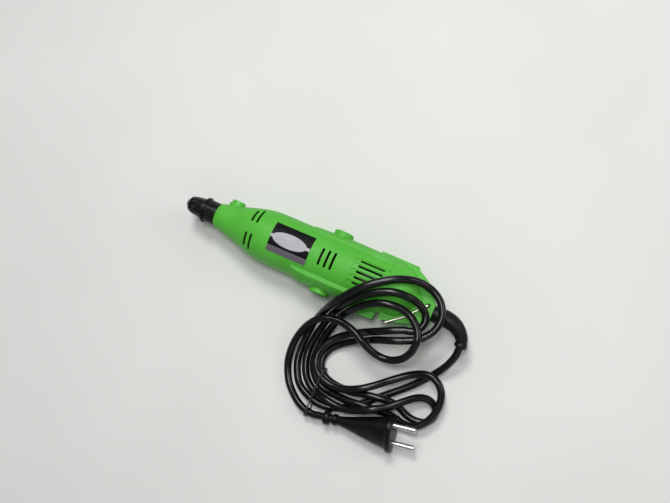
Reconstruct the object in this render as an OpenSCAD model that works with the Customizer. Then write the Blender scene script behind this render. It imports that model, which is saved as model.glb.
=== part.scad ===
// Rotary tool with its mains cord.
// Two half shells hold a universal motor on one axis; it turns a collet at the nose.
// A bent wire bail hangs in the tail, and the cord lies looped and tied beside the tool.
// Millimetres, +Z up. The nose points to -X, the cord leaves at +X, the belly stands on z = 0.

/* [Body] */
// Outer radius of the motor barrel
barrel_r = 23.5; // [23.3:0.1:23.7]
// Thickness of the moulded shell
wall = 2.2; // [2:0.1:2.2]
// Depth of the flat that the belly stands on
belly_cut = 0.5; // [0.4:0.1:0.6]
// Half height of the raised band on the right flank
band_half_height = 15; // [14:0.5:15.5]
// Half height of the raised band on the left flank
left_band_half_height = 17.5; // [16.5:0.5:18]
// Half height of the fins at the seam
fin_half_height = 3; // [2:0.5:3]
// Half height of the lug that carries the bail
lug_half_height = 8.5; // [8.3:0.1:8.5]

/* [Nose] */
// Bore of the collet, the shank size it holds
collet_bore_d = 3.2; // [3:0.1:3.2]
// Radius of the collet
collet_r = 2.5; // [2.4:0.1:2.6]
// Radius of the spindle head
spindle_head_r = 4; // [3.9:0.1:4]
// Radius of the black nose collar
collar_r = 10.2; // [10:0.1:10.4]
// Radius of the flange ring on the collar
flange_r = 11.4; // [11:0.1:11.6]
// Number of slots in the nose cap
cap_slots = 8; // [6:1:8]
// Number of grip grooves round the collar
collar_grooves = 20; // [16:1:24]

/* [Motor] */
// Radius of the motor and spindle shafts
shaft_r = 3; // [2.9:0.1:3]
// Outer radius of the spindle bearings
spindle_bearing_r = 7.5; // [7.3:0.1:7.5]
// Gap between the armature and the poles round it
air_gap = 0.5; // [0.4:0.1:0.6]
// Radius of the commutator
commutator_r = 8.2; // [8:0.1:8.2]
// Gap between the cooling fan and the shell
fan_gap = 2.8; // [1.3:0.5:3.3]
// Number of fan blades
fan_blades = 12; // [9:1:14]
// Number of slots in the armature core
armature_slots = 12; // [10:1:12]
// Number of commutator bars
commutator_bars = 24; // [20:1:24]

/* [Controls] */
// Radius of the shaft lock button
button_r = 6.2; // [6:0.1:6.2]
// How far the lock button presses in
button_travel = 2.5; // [2:0.1:2.5]
// How far the on-off slider moves
slider_travel = 6; // [5:0.5:6]
// Radius of the speed thumb wheel
dial_r = 10.5; // [10.2:0.1:10.5]
// Number of grip notches round the thumb wheel
dial_notches = 24; // [20:1:28]

/* [Vents] */
// Width of the vent slots round the barrel
vent_w = 2.2; // [2:0.1:2.4]
// Width of the lengthwise vent slots behind them
rear_vent_w = 2; // [1.8:0.1:2.2]
// Width of the shallow grooves that the rear slots lie in
groove_w = 3.6; // [3.4:0.1:3.8]

/* [Bail] */
// Thickness of the bail's wire
wire_d = 2; // [1.8:0.1:2]

/* [Cord] */
// Thickness of the mains cord
cord_d = 6.4; // [6.2:0.1:6.4]
// Radius of the bend sleeve at the tool
sleeve_r = 7.5; // [7:0.1:7.5]

/* [Hidden] */
$fn = 64;
tiny = 0.01;
over = 1;
run_gap = 0.05;
slide_gap = 0.2;

// Heights and radii that follow from the barrel
axis_z = barrel_r - belly_cut;
inner_r = barrel_r - wall;
fan_r = inner_r - fan_gap;
cord_r = cord_d / 2;
wire_r = wire_d / 2;
collet_bore_r = collet_bore_d / 2;

// Stations along the axis, nose first
nut_x = -120;
nut_cone_end_x = -114;
nut_hex_x = -113;
nut_bore_end_x = -112;
nut_end_x = -106;
collet_x = -119.5;
cap_x = -117.5;
cap_slot_x = -115.6;
cap_lip_x = -115;
spindle_x = -113;
spindle_bore_end_x = -100;
spindle_step_x = -97;
spindle_end_x = -54;
collar_x = -108;
collar_mouth_end_x = -99;
flange_x = -102;
flange_end_x = -100.4;
shell_x = -89.5;
spigot_end_x = -84;
coupling_x = -60.5;
coupling_end_x = -46;
shaft_start_x = -53;
fan_x = -37;
fan_end_x = -28;
core_x = -19;
core_end_x = 11;
stator_x = -20;
stator_end_x = 12;
commutator_x = 17.5;
commutator_end_x = 28.5;
brush_x = 22.9;
shaft_step_x = 32;
shaft_end_x = 41;
cavity_end_x = 98.5;
tail_x = 120;
// Half the side of the blocks that cut the halves and the poles
reach = 2 * tail_x;

// Bearings: start along the axis and width
bearing_w = 5;
front_bearing_x = -95;
rear_bearing_x = coupling_x - bearing_w - 3.5;
lock_x = rear_bearing_x - 7;
motor_front_x = coupling_end_x + 2;
motor_rear_x = shaft_step_x + 2;
motor_front_r = 8;
motor_rear_r = 7;
rear_journal_r = shaft_r - 0.5;
web_margin = 1;
web_bore_gap = 2;

// Radii of the nose pieces
collar_nose_r = 7.6;
collar_mouth_r = 6.4;
spigot_r = 8.6;
cap_mouth_r = 5.4;
cap_room_r = 6.2;
nut_r = 5;
nut_tip_r = 3.4;
nut_hex_r = 5.6;
nut_hex_long = 6;
slit_w = 0.4;
slit_long = 10;
cap_line = [[-112.5, 7.9], [-108.6, 8.6], [-105.5, 9], [-103.4, 9.2]];
cap_rim_r = 6.9;
cap_end_r = 9;
cap_slot = [5, 2, 6.3];
cap_slot_in_r = 5.5;

// Motor from the shell inwards: yoke, coils, poles and armature
yoke_t = 3.1;
coil_t = 2.5;
pole_t = 2.3;
stator_r = inner_r - slide_gap;
yoke_in_r = stator_r - yoke_t;
coil_out_r = yoke_in_r - slide_gap;
coil_in_r = coil_out_r - coil_t;
pole_out_r = coil_in_r - slide_gap;
pole_in_r = pole_out_r - pole_t;
armature_r = pole_in_r - air_gap;
pole_half = pole_in_r - 1.8;
coil_half = pole_half + 1;
neck_half = 6;
coil_over = 5;
armature_slot_deep = 4.4;
winding_r = armature_r - 1.3;
winding_long = 5;
coupling_r = 7;
fan_hub_r = 6;
blade_t = 1.2;
brush_spring_r = 2.3;
brush_spring_in_r = 1.7;

// Outline of the nose: distance along the axis and share of the way from nose_r to the barrel
nose_r = 9.5;
nose_shape = [[-89.5, 0], [-88.4, 0.08], [-85.8, 0.15], [-78, 0.287], [-67.3, 0.471],
    [-60, 0.636], [-52.5, 0.786], [-45, 0.914], [-38, 0.982], [-31, 1]];
nose_line = [for (q = nose_shape) [q[0], (q[1] - 1) * (barrel_r - nose_r)]];
// Outlines behind it: distance along the axis and height over the barrel, or over its inside
tail_line = [[84, 0], [90, -0.5], [94, -1.9], [98, -4.9], [101, -8.9], [104.5, -12.5],
    [108.5, -14.6]];
hollow_line = concat([[spigot_end_x, spigot_r + 0.8 - inner_r]],
    [for (q = nose_line) if (q[0] > spigot_end_x) q]);
hollow_tail = [[84, 0], [90, -0.5], [94, -1.9], [97, -5], [98.5, -8.8]];
band_rise = 1.8;
band_line = [[-8, -2.5], [-5.5, -0.5], [0.6, 0.9], [10, 1.4], [32.5, 2.1], [46.5, 2],
    [58, band_rise], [76, band_rise], [84, 0.3], [88, -2]];
left_band_line = [[-10, -2.5], [-6.5, -0.2], [-2, 1.8], [4, 2.4], [20, 2.6], [46, 2.6],
    [60, 2.3], [72, 1.2], [82, -0.4], [88, -2.5]];
line_steps = 4;

// Plans at the seam: distance along the axis and distance out past the barrel's flank
fin_right = [[60, -8.5], [60, 2.5], [60.6, 3.1], [94.2, 2.9], [95, 2.1], [95.3, -8.5]];
fin_left = [[50.5, -8.5], [50.5, 6.5], [51.1, 7.1], [74.1, 7.1], [74.8, 6.4], [75.8, -8.5]];
lug_left = [[80, -3.5], [80, 3.5], [82, 4.5], [100, -0.1], [116.5, -5.1], [118.8, -6.3],
    [119.8, -8.1], [tail_x, -10]];
lug_right = [[106.6, -5.9], [96.4, -0.2], [90, 0.5], [80, -3.5]];
// The lug's corner at the tail: distance along the axis and across it
lug_tail = [[tail_x, 1], [119.7, 2.6], [118.9, 3.6]];

// Belly, label and vents
label_x = -11.8;
label_long = 37.2;
label_half = 12.85;
label_deep = 0.4;
label_proud = 0.15;
front_vents = [[-52.2, 5.1, 16.2], [-47, 5.1, 18.2]];
mid_vents = [17.2, 22.9, 28.2];
mid_vent_half = 7.7;
rear_vent_x = 49.6;
rear_vent_end_x = 71.9;
groove_x = 44.8;
groove_end_x = 78;
groove_deep = 0.7;
rear_vent_step = 12.6;
vent_floor = 6;

// Brush gear on the flanks
boss_r = 8.6;
boss_out = barrel_r + 5.5;
boss_round = 0.8;
cap_seat_y = boss_out - 3.5;
brush_cap_r = 6.4;
brush_cap_out = boss_out - 0.4;
holder_half = [3.6, 4.4];
brush_half = [2.5, 3.25];
brush_in_y = commutator_r + 0.3;
brush_out_y = brush_in_y + 8.5;
holder_in_y = brush_in_y + 1;

// Shaft lock
lock_flange_r = spindle_bearing_r;
lock_flange_half = 3.5;
lock_pin_r = 1.9;
lock_seat_y = 8;
lock_seat_t = 0.8;
spring_solid = 1.2;
button_t = 5.6;
button_in_y = lock_seat_y + lock_seat_t + spring_solid + button_travel;
button_out_y = button_in_y + button_t;
button_boss_r = button_r + 1.4;
button_boss_y = button_out_y - 3.4;
button_pocket_r = 4.4;
button_pocket_deep = 3.2;
lock_spring_r = 4;
lock_pin_tip_y = lock_flange_r + 0.6;

// On-off slider and switch on the right flank
slider_x = 60;
slider_long = 12;
slider_z = -6.5;
slider_half = 3;
slider_in_y = barrel_r + band_rise + 0.1;
slider_out_y = slider_in_y + 1.8;
switch_x = 50;
switch_low_z = -10.5;
switch_size = [24, 10.2, 9];
switch_gap = 0.33;
switch_out_y = sqrt(inner_r * inner_r - switch_low_z * switch_low_z) - switch_gap;
switch_in_y = switch_out_y - switch_size[1];
stem_long = 8;
stem_half = 1.6;
stem_in_y = switch_out_y - 0.5;

// Control board between a screw column and the switch, capacitor and speed wheel
column_r = 3.4;
column_y = inner_r - column_r - 0.9;
board_x = 44;
board_long = 41;
board_t = 1.6;
board_z = -9.8;
board_y = column_r + 0.6 - column_y;
board_w = switch_in_y - 1.5 - board_y;
capacitor_at = [50, board_y + 2, board_z + board_t];
capacitor_size = [18, 10, 8];
rail_x = 46;
rail_long = 38;
rail_t = 1.4;
rail_ys = [board_y + 1.5, board_y + board_w - 1.1 - rail_t];
dial_x = 97;
dial_y = 5;
dial_w = 6;
dial_up = 15.5;
dial_z = dial_up - barrel_r;
dial_bore_r = 1.4;
dial_pocket_gap = 0.6;
pot_size = [6.7, 6.7, 7.6];
pot_at = [dial_x - 5.5, dial_y - dial_pocket_gap - 0.2 - pot_size[1], dial_z - pot_size[2] / 2];
pot_out_y = pot_at[1] + pot_size[1];

// Tail: lug, clamp, cord channel
pivot = [114.5, -1.3];
peg_deep = 3.2;
dimple_r = 2;
dimple_deep = 0.9;
cord_y = -5;
neck_r = 4.2;
neck_x = 111;
neck_flange_r = 5.4;
neck_flange_w = 1.8;
clamp_x = 101;
clamp_w = 6;
clamp_half = 7.5;
clamp_h = 5;
clamp_screw_y = 5.7;
clamp_screw_r = 1.25;
clamp_head_r = 2.2;
clamp_room = clamp_screw_y + clamp_head_r + 0.3;
clamp_head_h = 1.6;
screw_deep = 6;
inner_cord_x = 96;
lead_x = 76;
lead_r = 1.1;
lead_y = 1.6;

// Housing screws: place and height of the head seat over the axis
screw_r = 1.45;
screw_head_r = 2.7;
screw_head_h = 2;
nose_screw_x = -57.5;
nose_screw_y = coupling_r + column_r + 2.6;
nose_screw_z = -10;
body_screw_x = 44;
body_screw_z = -12;
body_screws = [[nose_screw_x, nose_screw_y, nose_screw_z],
    [nose_screw_x, -nose_screw_y, nose_screw_z],
    [body_screw_x, column_y, body_screw_z], [body_screw_x, -column_y, body_screw_z]];
tail_screw = [114.5, 9.5 - barrel_r, -6.2];
body_screw_up = 17;
tail_screw_up = 11;

// Bail: plan of one leg behind the pivot, distance along the axis and out past the barrel
leg_lift = lug_half_height + 0.3 + wire_r;
bail_plan = [[111, -18.4], [107, -14], [104, -10.3], [101, -6.5], [97, -3.1], [92, 0.9],
    [88.5, 3.8], [87.2, 4.95]];
bail_end = [86.7, 5.4];
bail_corner = 2;
bail_lift_in = 0.5;
wire_sides = 12;

// Bend sleeve: centre line from the tail face to its free end, and the radius there
sleeve_line = [[120, -5, 0], [126, -5, 0], [132, -5.1, 0], [137, -5.9, -0.1], [141.5, -7.6, -0.3],
    [145.5, -10.3, -0.6], [148.7, -13.6, -1.1], [150.4, -16.4, -1.6], [151.1, -19, -2.1],
    [151.1, -19.2, -2.15], [151, -22.2, -3]];
sleeve_taper = [0.5, 0, 0.1, 0.4, 0.9, 1.5, 2.1, 2.5, 2.7, 2.2, 2.3];
sleeve_sides = 24;

// Lie of the plug: middle of its face and the turns that lay it down
plug_face = [128.9, -110.2, 15.2];
plug_roll = 38;
plug_pitch = 6.6;
plug_yaw = 11;
plug_long = 61.5;
plug_square = 2.5;
plug_sides = 40;
plug_body_line = [[12, 3.6, 3.6], [16, 4.2, 4.1], [20, 4.9, 4.7], [26, 6.2, 5.7], [33, 8.1, 6.9],
    [41, 10.4, 8.2], [49, 12.4, 9.4], [54, 13.4, 10], [56.6, 14, 10.4], [57.2, 15.6, 11.4],
    [57.8, 16.4, 12], [60.9, 16.4, 12], [61.5, 16, 11.6]];
plug_flange_w = 5;
plug_flange_r = 6;
plug_neck_r = 3.6;
plug_bead = [8, 12, 4.8];
pin_r = 2.4;
pin_long = 19;
pin_half_gap = 9.5;
pin_tip = 0.7;
pin_root_r = 3;
pin_root_deep = 6;

// Tie: a coated wire led once round the strands at the left end, its ends side by side
tie_r = 0.6;
tie_line = [[52.1, -128, 4.6], [52.1, -127.6, 7.8], [52.1, -126, 9.6], [52.2, -123, 10.2],
    [52.4, -114, 11.4],
    [52.6, -105, 13.4], [52.8, -97.5, 15.4], [53, -92.5, 16.1], [53, -88, 14.4], [53, -84.9, 9.5],
    [53, -83.8, 5], [53, -84.6, 2], [53, -87, 0.8], [53.1, -95, 0.75], [53.2, -105, 0.75],
    [53.4, -115, 0.75], [53.6, -124.2, 0.8], [53.8, -127.3, 2.2], [53.9, -127.9, 5.5],
    [53.9, -127.4, 8.2], [53.9, -125.6, 10], [53.9, -121.5, 10.7]];

cord_sides = 8;
cord_steps = 2;
// Lie of the cord: from the bend sleeve to the left of the hank
lead_run = [[149.3, -34, 15.8], [145.7, -41.7, 10.8], [139.8, -50.4, 6.8],
    [131, -61, 4.2], [121, -72, 3.35], [105, -87, 3.35], [89, -102, 3.35], [76, -110.5, 3.35],
    [63, -114, 4.5], [50, -112.3, 4.8], [36, -105, 3.5], [27.5, -91, 3.35], [24.8, -76, 3.35]];
// First turn: over the tail, back beside it and round the right end
loop_one = [[25, -63, 5], [27.8, -52, 12], [33.7, -41.3, 24], [42, -30.5, 38.5], [51.5, -20, 47.5],
    [61, -10, 51.2], [71, -1.5, 51.2], [81.5, 5.5, 50.4], [91, 10, 48], [100.5, 12.5, 43.5],
    [110, 12, 39.5], [118.5, 8.5, 38], [125, 2.5, 37.7], [128.8, -5.5, 37.6], [129, -14.5, 37.6],
    [125.5, -23, 37.6], [118, -31, 37.6], [108, -36.5, 37.6], [97, -41, 37], [86, -44.7, 30.5],
    [76.5, -49, 20.5], [67, -53, 10.5], [57, -59, 4.5], [49.2, -67, 3.35], [46, -77.5, 3.35],
    [49.5, -86.5, 4.4], [57, -91.5, 5], [67, -93.5, 5.2], [80, -93, 7.5], [91.5, -90.5, 9.9],
    [103, -88.5, 10.4], [113, -87, 9], [122, -87.8, 4.8], [132.5, -91.8, 3.35],
    [141.5, -92.6, 3.35], [149.8, -89.6, 3.35], [153.4, -82, 3.35], [150.2, -74.8, 4]];
// Second turn
loop_two = [[142.5, -72, 6.6], [134, -75, 9.4], [125, -82.7, 12.4], [115, -92, 15], [104, -99, 17.4],
    [94, -104.5, 15.5], [84, -108, 11.8], [74, -109, 10.2], [64, -108, 9.6], [55.5, -106.5, 6.5],
    [47.3, -103.8, 4.6], [38.8, -96.3, 3.5], [33.5, -85.5, 3.35], [31.6, -73, 3.35], [33, -60, 5],
    [36.2, -49.5, 10.5], [41.5, -39, 21.5], [48.8, -29.7, 33.5], [57.5, -21.3, 43.8], [67, -13.5, 49],
    [77, -7.5, 50.4], [87.5, -3.5, 50.2], [98, -2.5, 47.5], [105.5, -3.2, 43],
    [111.3, -5.5, 40], [116, -9.6, 38.1], [118, -16, 37.6], [116, -22.6, 37.6],
    [111.4, -26.6, 37.6], [104.5, -28.6, 37.6],
    [95, -33, 38], [86, -37.3, 35.5], [77, -41, 27.5], [68, -45, 18.5], [59, -50, 11.8],
    [50.5, -57, 10], [44.5, -66, 9.9], [42, -76.5, 9.9], [45, -86.5, 10.5], [53, -92.5, 11.6],
    [64, -95, 12.2], [76, -93, 14], [88, -87.5, 16.8], [98, -80, 15.5], [108, -71, 12.5],
    [119, -61.5, 11], [129, -55.5, 12], [137.5, -53.5, 13.5], [145.5, -56, 14.2],
    [151.5, -62.5, 13.5], [154, -71.5, 12.5], [153, -81.5, 11.5], [149, -90.5, 10.5],
    [141.5, -97.8, 9.4], [132, -99.3, 6], [124, -97.8, 3.8]];
// Third turn and the way to the plug
loop_three = [[115, -97.3, 5.5], [106, -98.5, 9.6], [94, -99.5, 10.5], [82, -101, 9],
    [71, -101.3, 6.5], [61, -100.8, 4.8], [52, -98, 4.8], [44.5, -91.8, 3.7], [40, -83, 3.35],
    [38.8, -71.5, 3.35], [40.4, -59, 5], [44.2, -48, 11.5], [49.8, -38.2, 22.5], [57.5, -30.5, 34],
    [66, -23.5, 42], [76, -17.5, 46.8], [86, -14.5, 47.8], [96, -13.5, 46.3], [105, -15.7, 44.7],
    [112, -20.5, 44.6], [117, -27, 44.8], [119, -34.5, 44.5], [117.5, -43, 40], [112, -50.5, 33],
    [103, -55.3, 28.5], [92.5, -56, 28], [82.5, -53.5, 31], [73.5, -49.2, 33], [64.5, -45.3, 32],
    [54.5, -43, 30], [45, -43.5, 29], [36, -46.5, 28], [28.5, -52.5, 23.5], [22.5, -61.5, 17],
    [18.8, -72.5, 11], [18, -84, 6.5], [20.2, -95, 4], [27, -107.5, 3.35], [37, -116.8, 3.8],
    [47, -122.3, 5.2]];

// Radius of the bend curve at t between b and c, with neighbours a and d
function bend(a, b, c, d, t) = 0.5 * (2 * b + (c - a) * t
    + (2 * a - 5 * b + 4 * c - d) * t * t + (3 * b - a - 3 * c + d) * t * t * t);

// A smooth line through the points p with n steps between neighbours
function smooth(p, n) = [
    for (i = [0 : len(p) - 2])
        for (k = [0 : n - 1])
            bend(p[max(i - 1, 0)], p[i], p[i + 1], p[min(i + 2, len(p) - 1)], k / n),
    p[len(p) - 1]];

// Heights over the radius r become half outlines for turning
function turned(p, r) = [for (q = p) [r + q[1], q[0]]];

// Distances out past the barrel become points of a plan on one flank
function beside(side, p) = [for (q = p) [q[0], side * (barrel_r + q[1])]];

function unit(v) = v / norm(v);

// Direction of the path p at point i
function heading(p, i) = unit(p[min(i + 1, len(p) - 1)] - p[max(i - 1, 0)]);

// Side vectors carried along the path so that the tube doesn't twist
function sides_of(p) = [
    for (i = 0, s = unit(cross(heading(p, 0), [0.1, 0.2, 1]));
        i < len(p);
        i = i + 1, s = i < len(p) ? carried(s, heading(p, i)) : s) s];
function carried(s, h) = unit(s - (s * h) * h);

// One ring of the tube round each point of the path p
function rings(p, r, n) = let (s = sides_of(p)) [
    for (i = [0 : len(p) - 1])
        let (h = heading(p, i), u = s[i], v = cross(h, u), q = is_list(r) ? r[i] : r)
            for (k = [0 : n - 1])
                p[i] + q * cos(360 * k / n) * u + q * sin(360 * k / n) * v];

// A closed tube along the path p; r is one radius or one for each point
module tube(p, r, n) {
    last = (len(p) - 1) * n;
    polyhedron(
        points = concat(rings(p, r, n), [p[0], p[len(p) - 1]]),
        faces = concat(
            [for (i = [0 : len(p) - 2]) for (k = [0 : n - 1])
                [i * n + (k + 1) % n, i * n + k, (i + 1) * n + k]],
            [for (i = [0 : len(p) - 2]) for (k = [0 : n - 1])
                [(i + 1) * n + (k + 1) % n, i * n + (k + 1) % n, (i + 1) * n + k]],
            [for (k = [0 : n - 1]) [last + n, k, (k + 1) % n]],
            [for (k = [0 : n - 1]) [last + n + 1, last + (k + 1) % n, last + k]]));
}

// Places with the tool's axis as the local Z axis
module along_x(x) {
    translate([x, 0, axis_z]) rotate([0, 90, 0]) children();
}

module rod(x0, x1, r) {
    along_x(x0) cylinder(h = x1 - x0, r = r);
}

module ring(x0, x1, outer, inner) {
    difference() {
        rod(x0, x1, outer);
        rod(x0 - over, x1 + over, inner);
    }
}

module cone(x0, x1, r0, r1) {
    along_x(x0) cylinder(h = x1 - x0, r1 = r0, r2 = r1);
}

// A body turned round the tool's axis from a half outline
module turn(p) {
    along_x(0) rotate_extrude()
        polygon(concat([[0, p[0][1]]], p, [[0, p[len(p) - 1][1]]]));
}

// A block by its corner and size, measured from the tool's axis
module block(corner, size) {
    translate([corner[0], corner[1], axis_z + corner[2]]) cube(size);
}

// A rod square to the flank from y0 to y1
module cross_rod(x, z, y0, y1, r) {
    translate([x, y0, axis_z + z]) rotate([-90, 0, 0]) cylinder(h = y1 - y0, r = r);
}

module upright(x, y, z0, z1, r) {
    translate([x, y, axis_z + z0]) cylinder(h = z1 - z0, r = r);
}

// A slot with round ends, long along local X
module slot(long, w, h) {
    linear_extrude(h) {
        square([long - w, w], center = true);
        translate([(long - w) / 2, 0]) circle(w / 2);
        translate([(w - long) / 2, 0]) circle(w / 2);
    }
}

module outer_form() {
    intersection() {
        union() {
            turn(turned(concat(smooth(nose_line, line_steps), smooth(tail_line, line_steps)), barrel_r));
            flank_band(0, band_line, band_half_height);
            flank_band(-reach, left_band_line, left_band_half_height);
            for (side = [-1, 1]) boss(side);
            cross_rod(lock_x, 0, 0, button_boss_y, button_boss_r);
            flat_piece(beside(1, fin_right), fin_half_height);
            flat_piece(beside(-1, fin_left), fin_half_height);
            flat_piece(concat(beside(-1, lug_left), lug_tail, beside(1, lug_right)), lug_half_height);
        }
        translate([-reach, -reach, 0]) cube([2 * reach, 2 * reach, reach]);
    }
}

// A raised band round the flank that lies between y and y + reach
module flank_band(y, line, half) {
    intersection() {
        turn(turned(smooth(line, line_steps), barrel_r));
        block([-reach, y, -half], [2 * reach, reach, 2 * half]);
    }
}

module boss(side) {
    straight = boss_out - boss_round;
    translate([brush_x, 0, axis_z]) rotate([-90 * side, 0, 0]) {
        cylinder(h = straight, r = boss_r);
        translate([0, 0, straight]) cylinder(h = boss_round, r1 = boss_r, r2 = boss_r - boss_round);
    }
}

module flat_piece(plan, half) {
    translate([0, 0, axis_z - half]) linear_extrude(2 * half) polygon(plan);
}

// Rings left standing in the hollow that carry the bearings
module bearing_web(x) {
    ring(x - web_margin - over, x + bearing_w + web_margin + over / 2, inner_r + wall / 2,
        shaft_r + web_bore_gap);
}

module hollow() {
    difference() {
        turn(turned(concat(smooth(hollow_line, line_steps), smooth(hollow_tail, line_steps)), inner_r));
        bearing_web(rear_bearing_x);
        bearing_web(motor_front_x);
        bearing_web(motor_rear_x);
        for (s = body_screws) upright(s[0], s[1], -barrel_r, barrel_r, column_r);
        lock_seat();
        for (y = rail_ys)
            block([rail_x, y, -barrel_r], [rail_long, rail_t, barrel_r + board_z]);
        for (x = [switch_x - slide_gap - rail_t, switch_x + switch_size[0] + slide_gap])
            block([x, switch_in_y + 2, -barrel_r], [rail_t, barrel_r, barrel_r - 2]);
    }
    rod(rear_bearing_x, rear_bearing_x + bearing_w, spindle_bearing_r + run_gap);
    rod(motor_front_x, motor_front_x + bearing_w, motor_front_r + run_gap);
    rod(motor_rear_x, motor_rear_x + bearing_w, motor_rear_r + run_gap);
    rod(shell_x - over, spigot_end_x + over / 2, spigot_r);
}

module lock_seat() {
    block([lock_x - 7, lock_seat_y, -barrel_r], [14, lock_seat_t, 2 * barrel_r]);
}

module vents() {
    for (v = front_vents)
        for (side = [-1, 1])
            translate([v[0], side * (v[1] + v[2]) / 2, axis_z + vent_floor])
                rotate(90) slot(v[2] - v[1], vent_w, barrel_r);
    for (x = mid_vents)
        translate([x, 0, axis_z + vent_floor]) rotate(90)
            slot(2 * mid_vent_half, vent_w, barrel_r);
    for (i = [-2 : 2])
        translate([0, 0, axis_z]) rotate([i * rear_vent_step, 0, 0]) {
            translate([(rear_vent_x + rear_vent_end_x) / 2, 0, barrel_r - wall - over])
                slot(rear_vent_end_x - rear_vent_x, rear_vent_w, wall + 2 * over);
            translate([(groove_x + groove_end_x) / 2, 0, barrel_r - groove_deep])
                slot(groove_end_x - groove_x, groove_w, wall);
        }
}

module brush_ports() {
    for (side = [-1, 1]) {
        translate([brush_x, 0, axis_z]) rotate([-90 * side, 0, 0]) {
            translate([0, 0, cap_seat_y]) cylinder(h = 10, r = brush_cap_r + run_gap);
            translate([-holder_half[0] - run_gap, -holder_half[1] - run_gap, 0])
                cube([2 * (holder_half[0] + run_gap), 2 * (holder_half[1] + run_gap), cap_seat_y + tiny]);
        }
    }
}

module control_ports() {
    cross_rod(lock_x, 0, lock_seat_y + lock_seat_t, barrel_r, button_r + run_gap);
    cross_rod(lock_x, 0, 0, lock_seat_y + lock_seat_t + tiny, lock_pin_r + run_gap);
    translate([slider_x + 2 - slider_travel - slide_gap, stem_in_y,
            axis_z + slider_z - stem_half - slide_gap])
        cube([stem_long + slider_travel + 2 * slide_gap, 20, 2 * (stem_half + slide_gap)]);
    dial_space();
}

module dial_space() {
    cross_rod(dial_x, dial_z, dial_y - dial_pocket_gap, dial_y + dial_w + dial_pocket_gap,
        dial_r + dial_pocket_gap);
    cross_rod(dial_x, dial_z, pot_out_y, dial_y + dial_w + 2.4, dial_bore_r + run_gap);
}

module tail_channel() {
    translate([0, cord_y, 0]) {
        rod(cavity_end_x - over, neck_x + tiny, cord_r + run_gap);
        rod(neck_x, neck_x + neck_flange_w, neck_flange_r + run_gap);
        rod(neck_x, tail_x + over, neck_r + run_gap);
        for (side = [-1, 1])
            upright(clamp_x + clamp_w / 2, side * clamp_screw_y, -screw_deep, tiny,
                clamp_screw_r + run_gap);
    }
    for (side = [0, 1])
        translate([pivot[0], pivot[1], axis_z]) mirror([0, 0, side]) peg_hole();
}

// The bail's pivot hole from the lug's face down, its mouth opened to a dimple
module peg_hole() {
    deep = peg_deep + 0.1;
    translate([0, 0, lug_half_height - deep]) cylinder(h = deep + over, r = wire_r + run_gap);
    translate([0, 0, lug_half_height - dimple_deep])
        cylinder(h = 2 * dimple_deep, r1 = wire_r + run_gap, r2 = 2 * dimple_r - wire_r - run_gap);
}

module screw_holes() {
    for (s = body_screws) screw_hole(s, body_screw_up);
    screw_hole(tail_screw, tail_screw_up);
}

module screw_hole(s, up) {
    upright(s[0], s[1], -barrel_r - over, s[2] + tiny, screw_head_r + slide_gap);
    upright(s[0], s[1], s[2] - tiny, s[2] + up + 0.3, screw_r + run_gap);
}

module label_recess() {
    intersection() {
        ring(label_x - label_long / 2, label_x + label_long / 2, barrel_r + over,
            barrel_r - label_deep);
        block([-reach, -label_half, 0], [2 * reach, 2 * label_half, reach]);
    }
}

module shell() {
    difference() {
        outer_form();
        hollow();
        brush_ports();
        control_ports();
        tail_channel();
        screw_holes();
        label_recess();
        vents();
    }
}

// Room in the upper half for the clamp that stands on the lower one
module clamp_pocket() {
    block([clamp_x - 1.2, cord_y - clamp_room, -over],
        [clamp_w + 2.4, 2 * clamp_room, clamp_h + clamp_head_h + 0.4 + over]);
}

module housing_upper() {
    color("#5cb244") difference() {
        shell();
        block([-reach, -reach, -reach], [2 * reach, 2 * reach, reach]);
        clamp_pocket();
    }
}

module housing_lower() {
    color("#57aa40") intersection() {
        shell();
        block([-reach, -reach, -reach], [2 * reach, 2 * reach, reach]);
    }
}

module housing_screws() {
    color("#8c8e92") {
        for (s = body_screws) screw(s, body_screw_up);
        screw(tail_screw, tail_screw_up);
    }
}

module screw(s, up) {
    difference() {
        union() {
            upright(s[0], s[1], s[2] - screw_head_h, s[2], screw_head_r);
            upright(s[0], s[1], s[2] - tiny, s[2] + up, screw_r);
        }
        for (turn = [0, 90])
            translate([s[0], s[1], axis_z + s[2] - screw_head_h]) rotate(turn)
                cube([3.4, 0.8, 2.2], center = true);
    }
}

module label_plate() {
    color("#17151a") intersection() {
        ring(label_x - label_long / 2 + run_gap, label_x + label_long / 2 - run_gap,
            barrel_r + label_proud, barrel_r - label_deep + run_gap);
        block([-reach, run_gap - label_half, 0], [2 * reach, 2 * (label_half - run_gap), reach]);
    }
}

module nose_collar() {
    color("#1c1c20") difference() {
        union() {
            rod(collar_x, flange_x + tiny, collar_nose_r);
            rod(flange_x, flange_end_x, flange_r);
            rod(flange_end_x - tiny, shell_x, collar_r);
            rod(shell_x - tiny, spigot_end_x, spigot_r - run_gap);
        }
        rod(collar_x - over, collar_mouth_end_x, collar_mouth_r);
        rod(collar_mouth_end_x - over, front_bearing_x + tiny, spindle_head_r + 0.6);
        rod(front_bearing_x, spigot_end_x + over, spindle_bearing_r + run_gap);
        for (i = [0 : collar_grooves - 1])
            along_x(flange_end_x + 0.6) rotate(360 * i / collar_grooves)
                translate([collar_r, 0, 0]) cylinder(h = shell_x - flange_end_x - 1.6, r = 0.5);
    }
}

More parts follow.
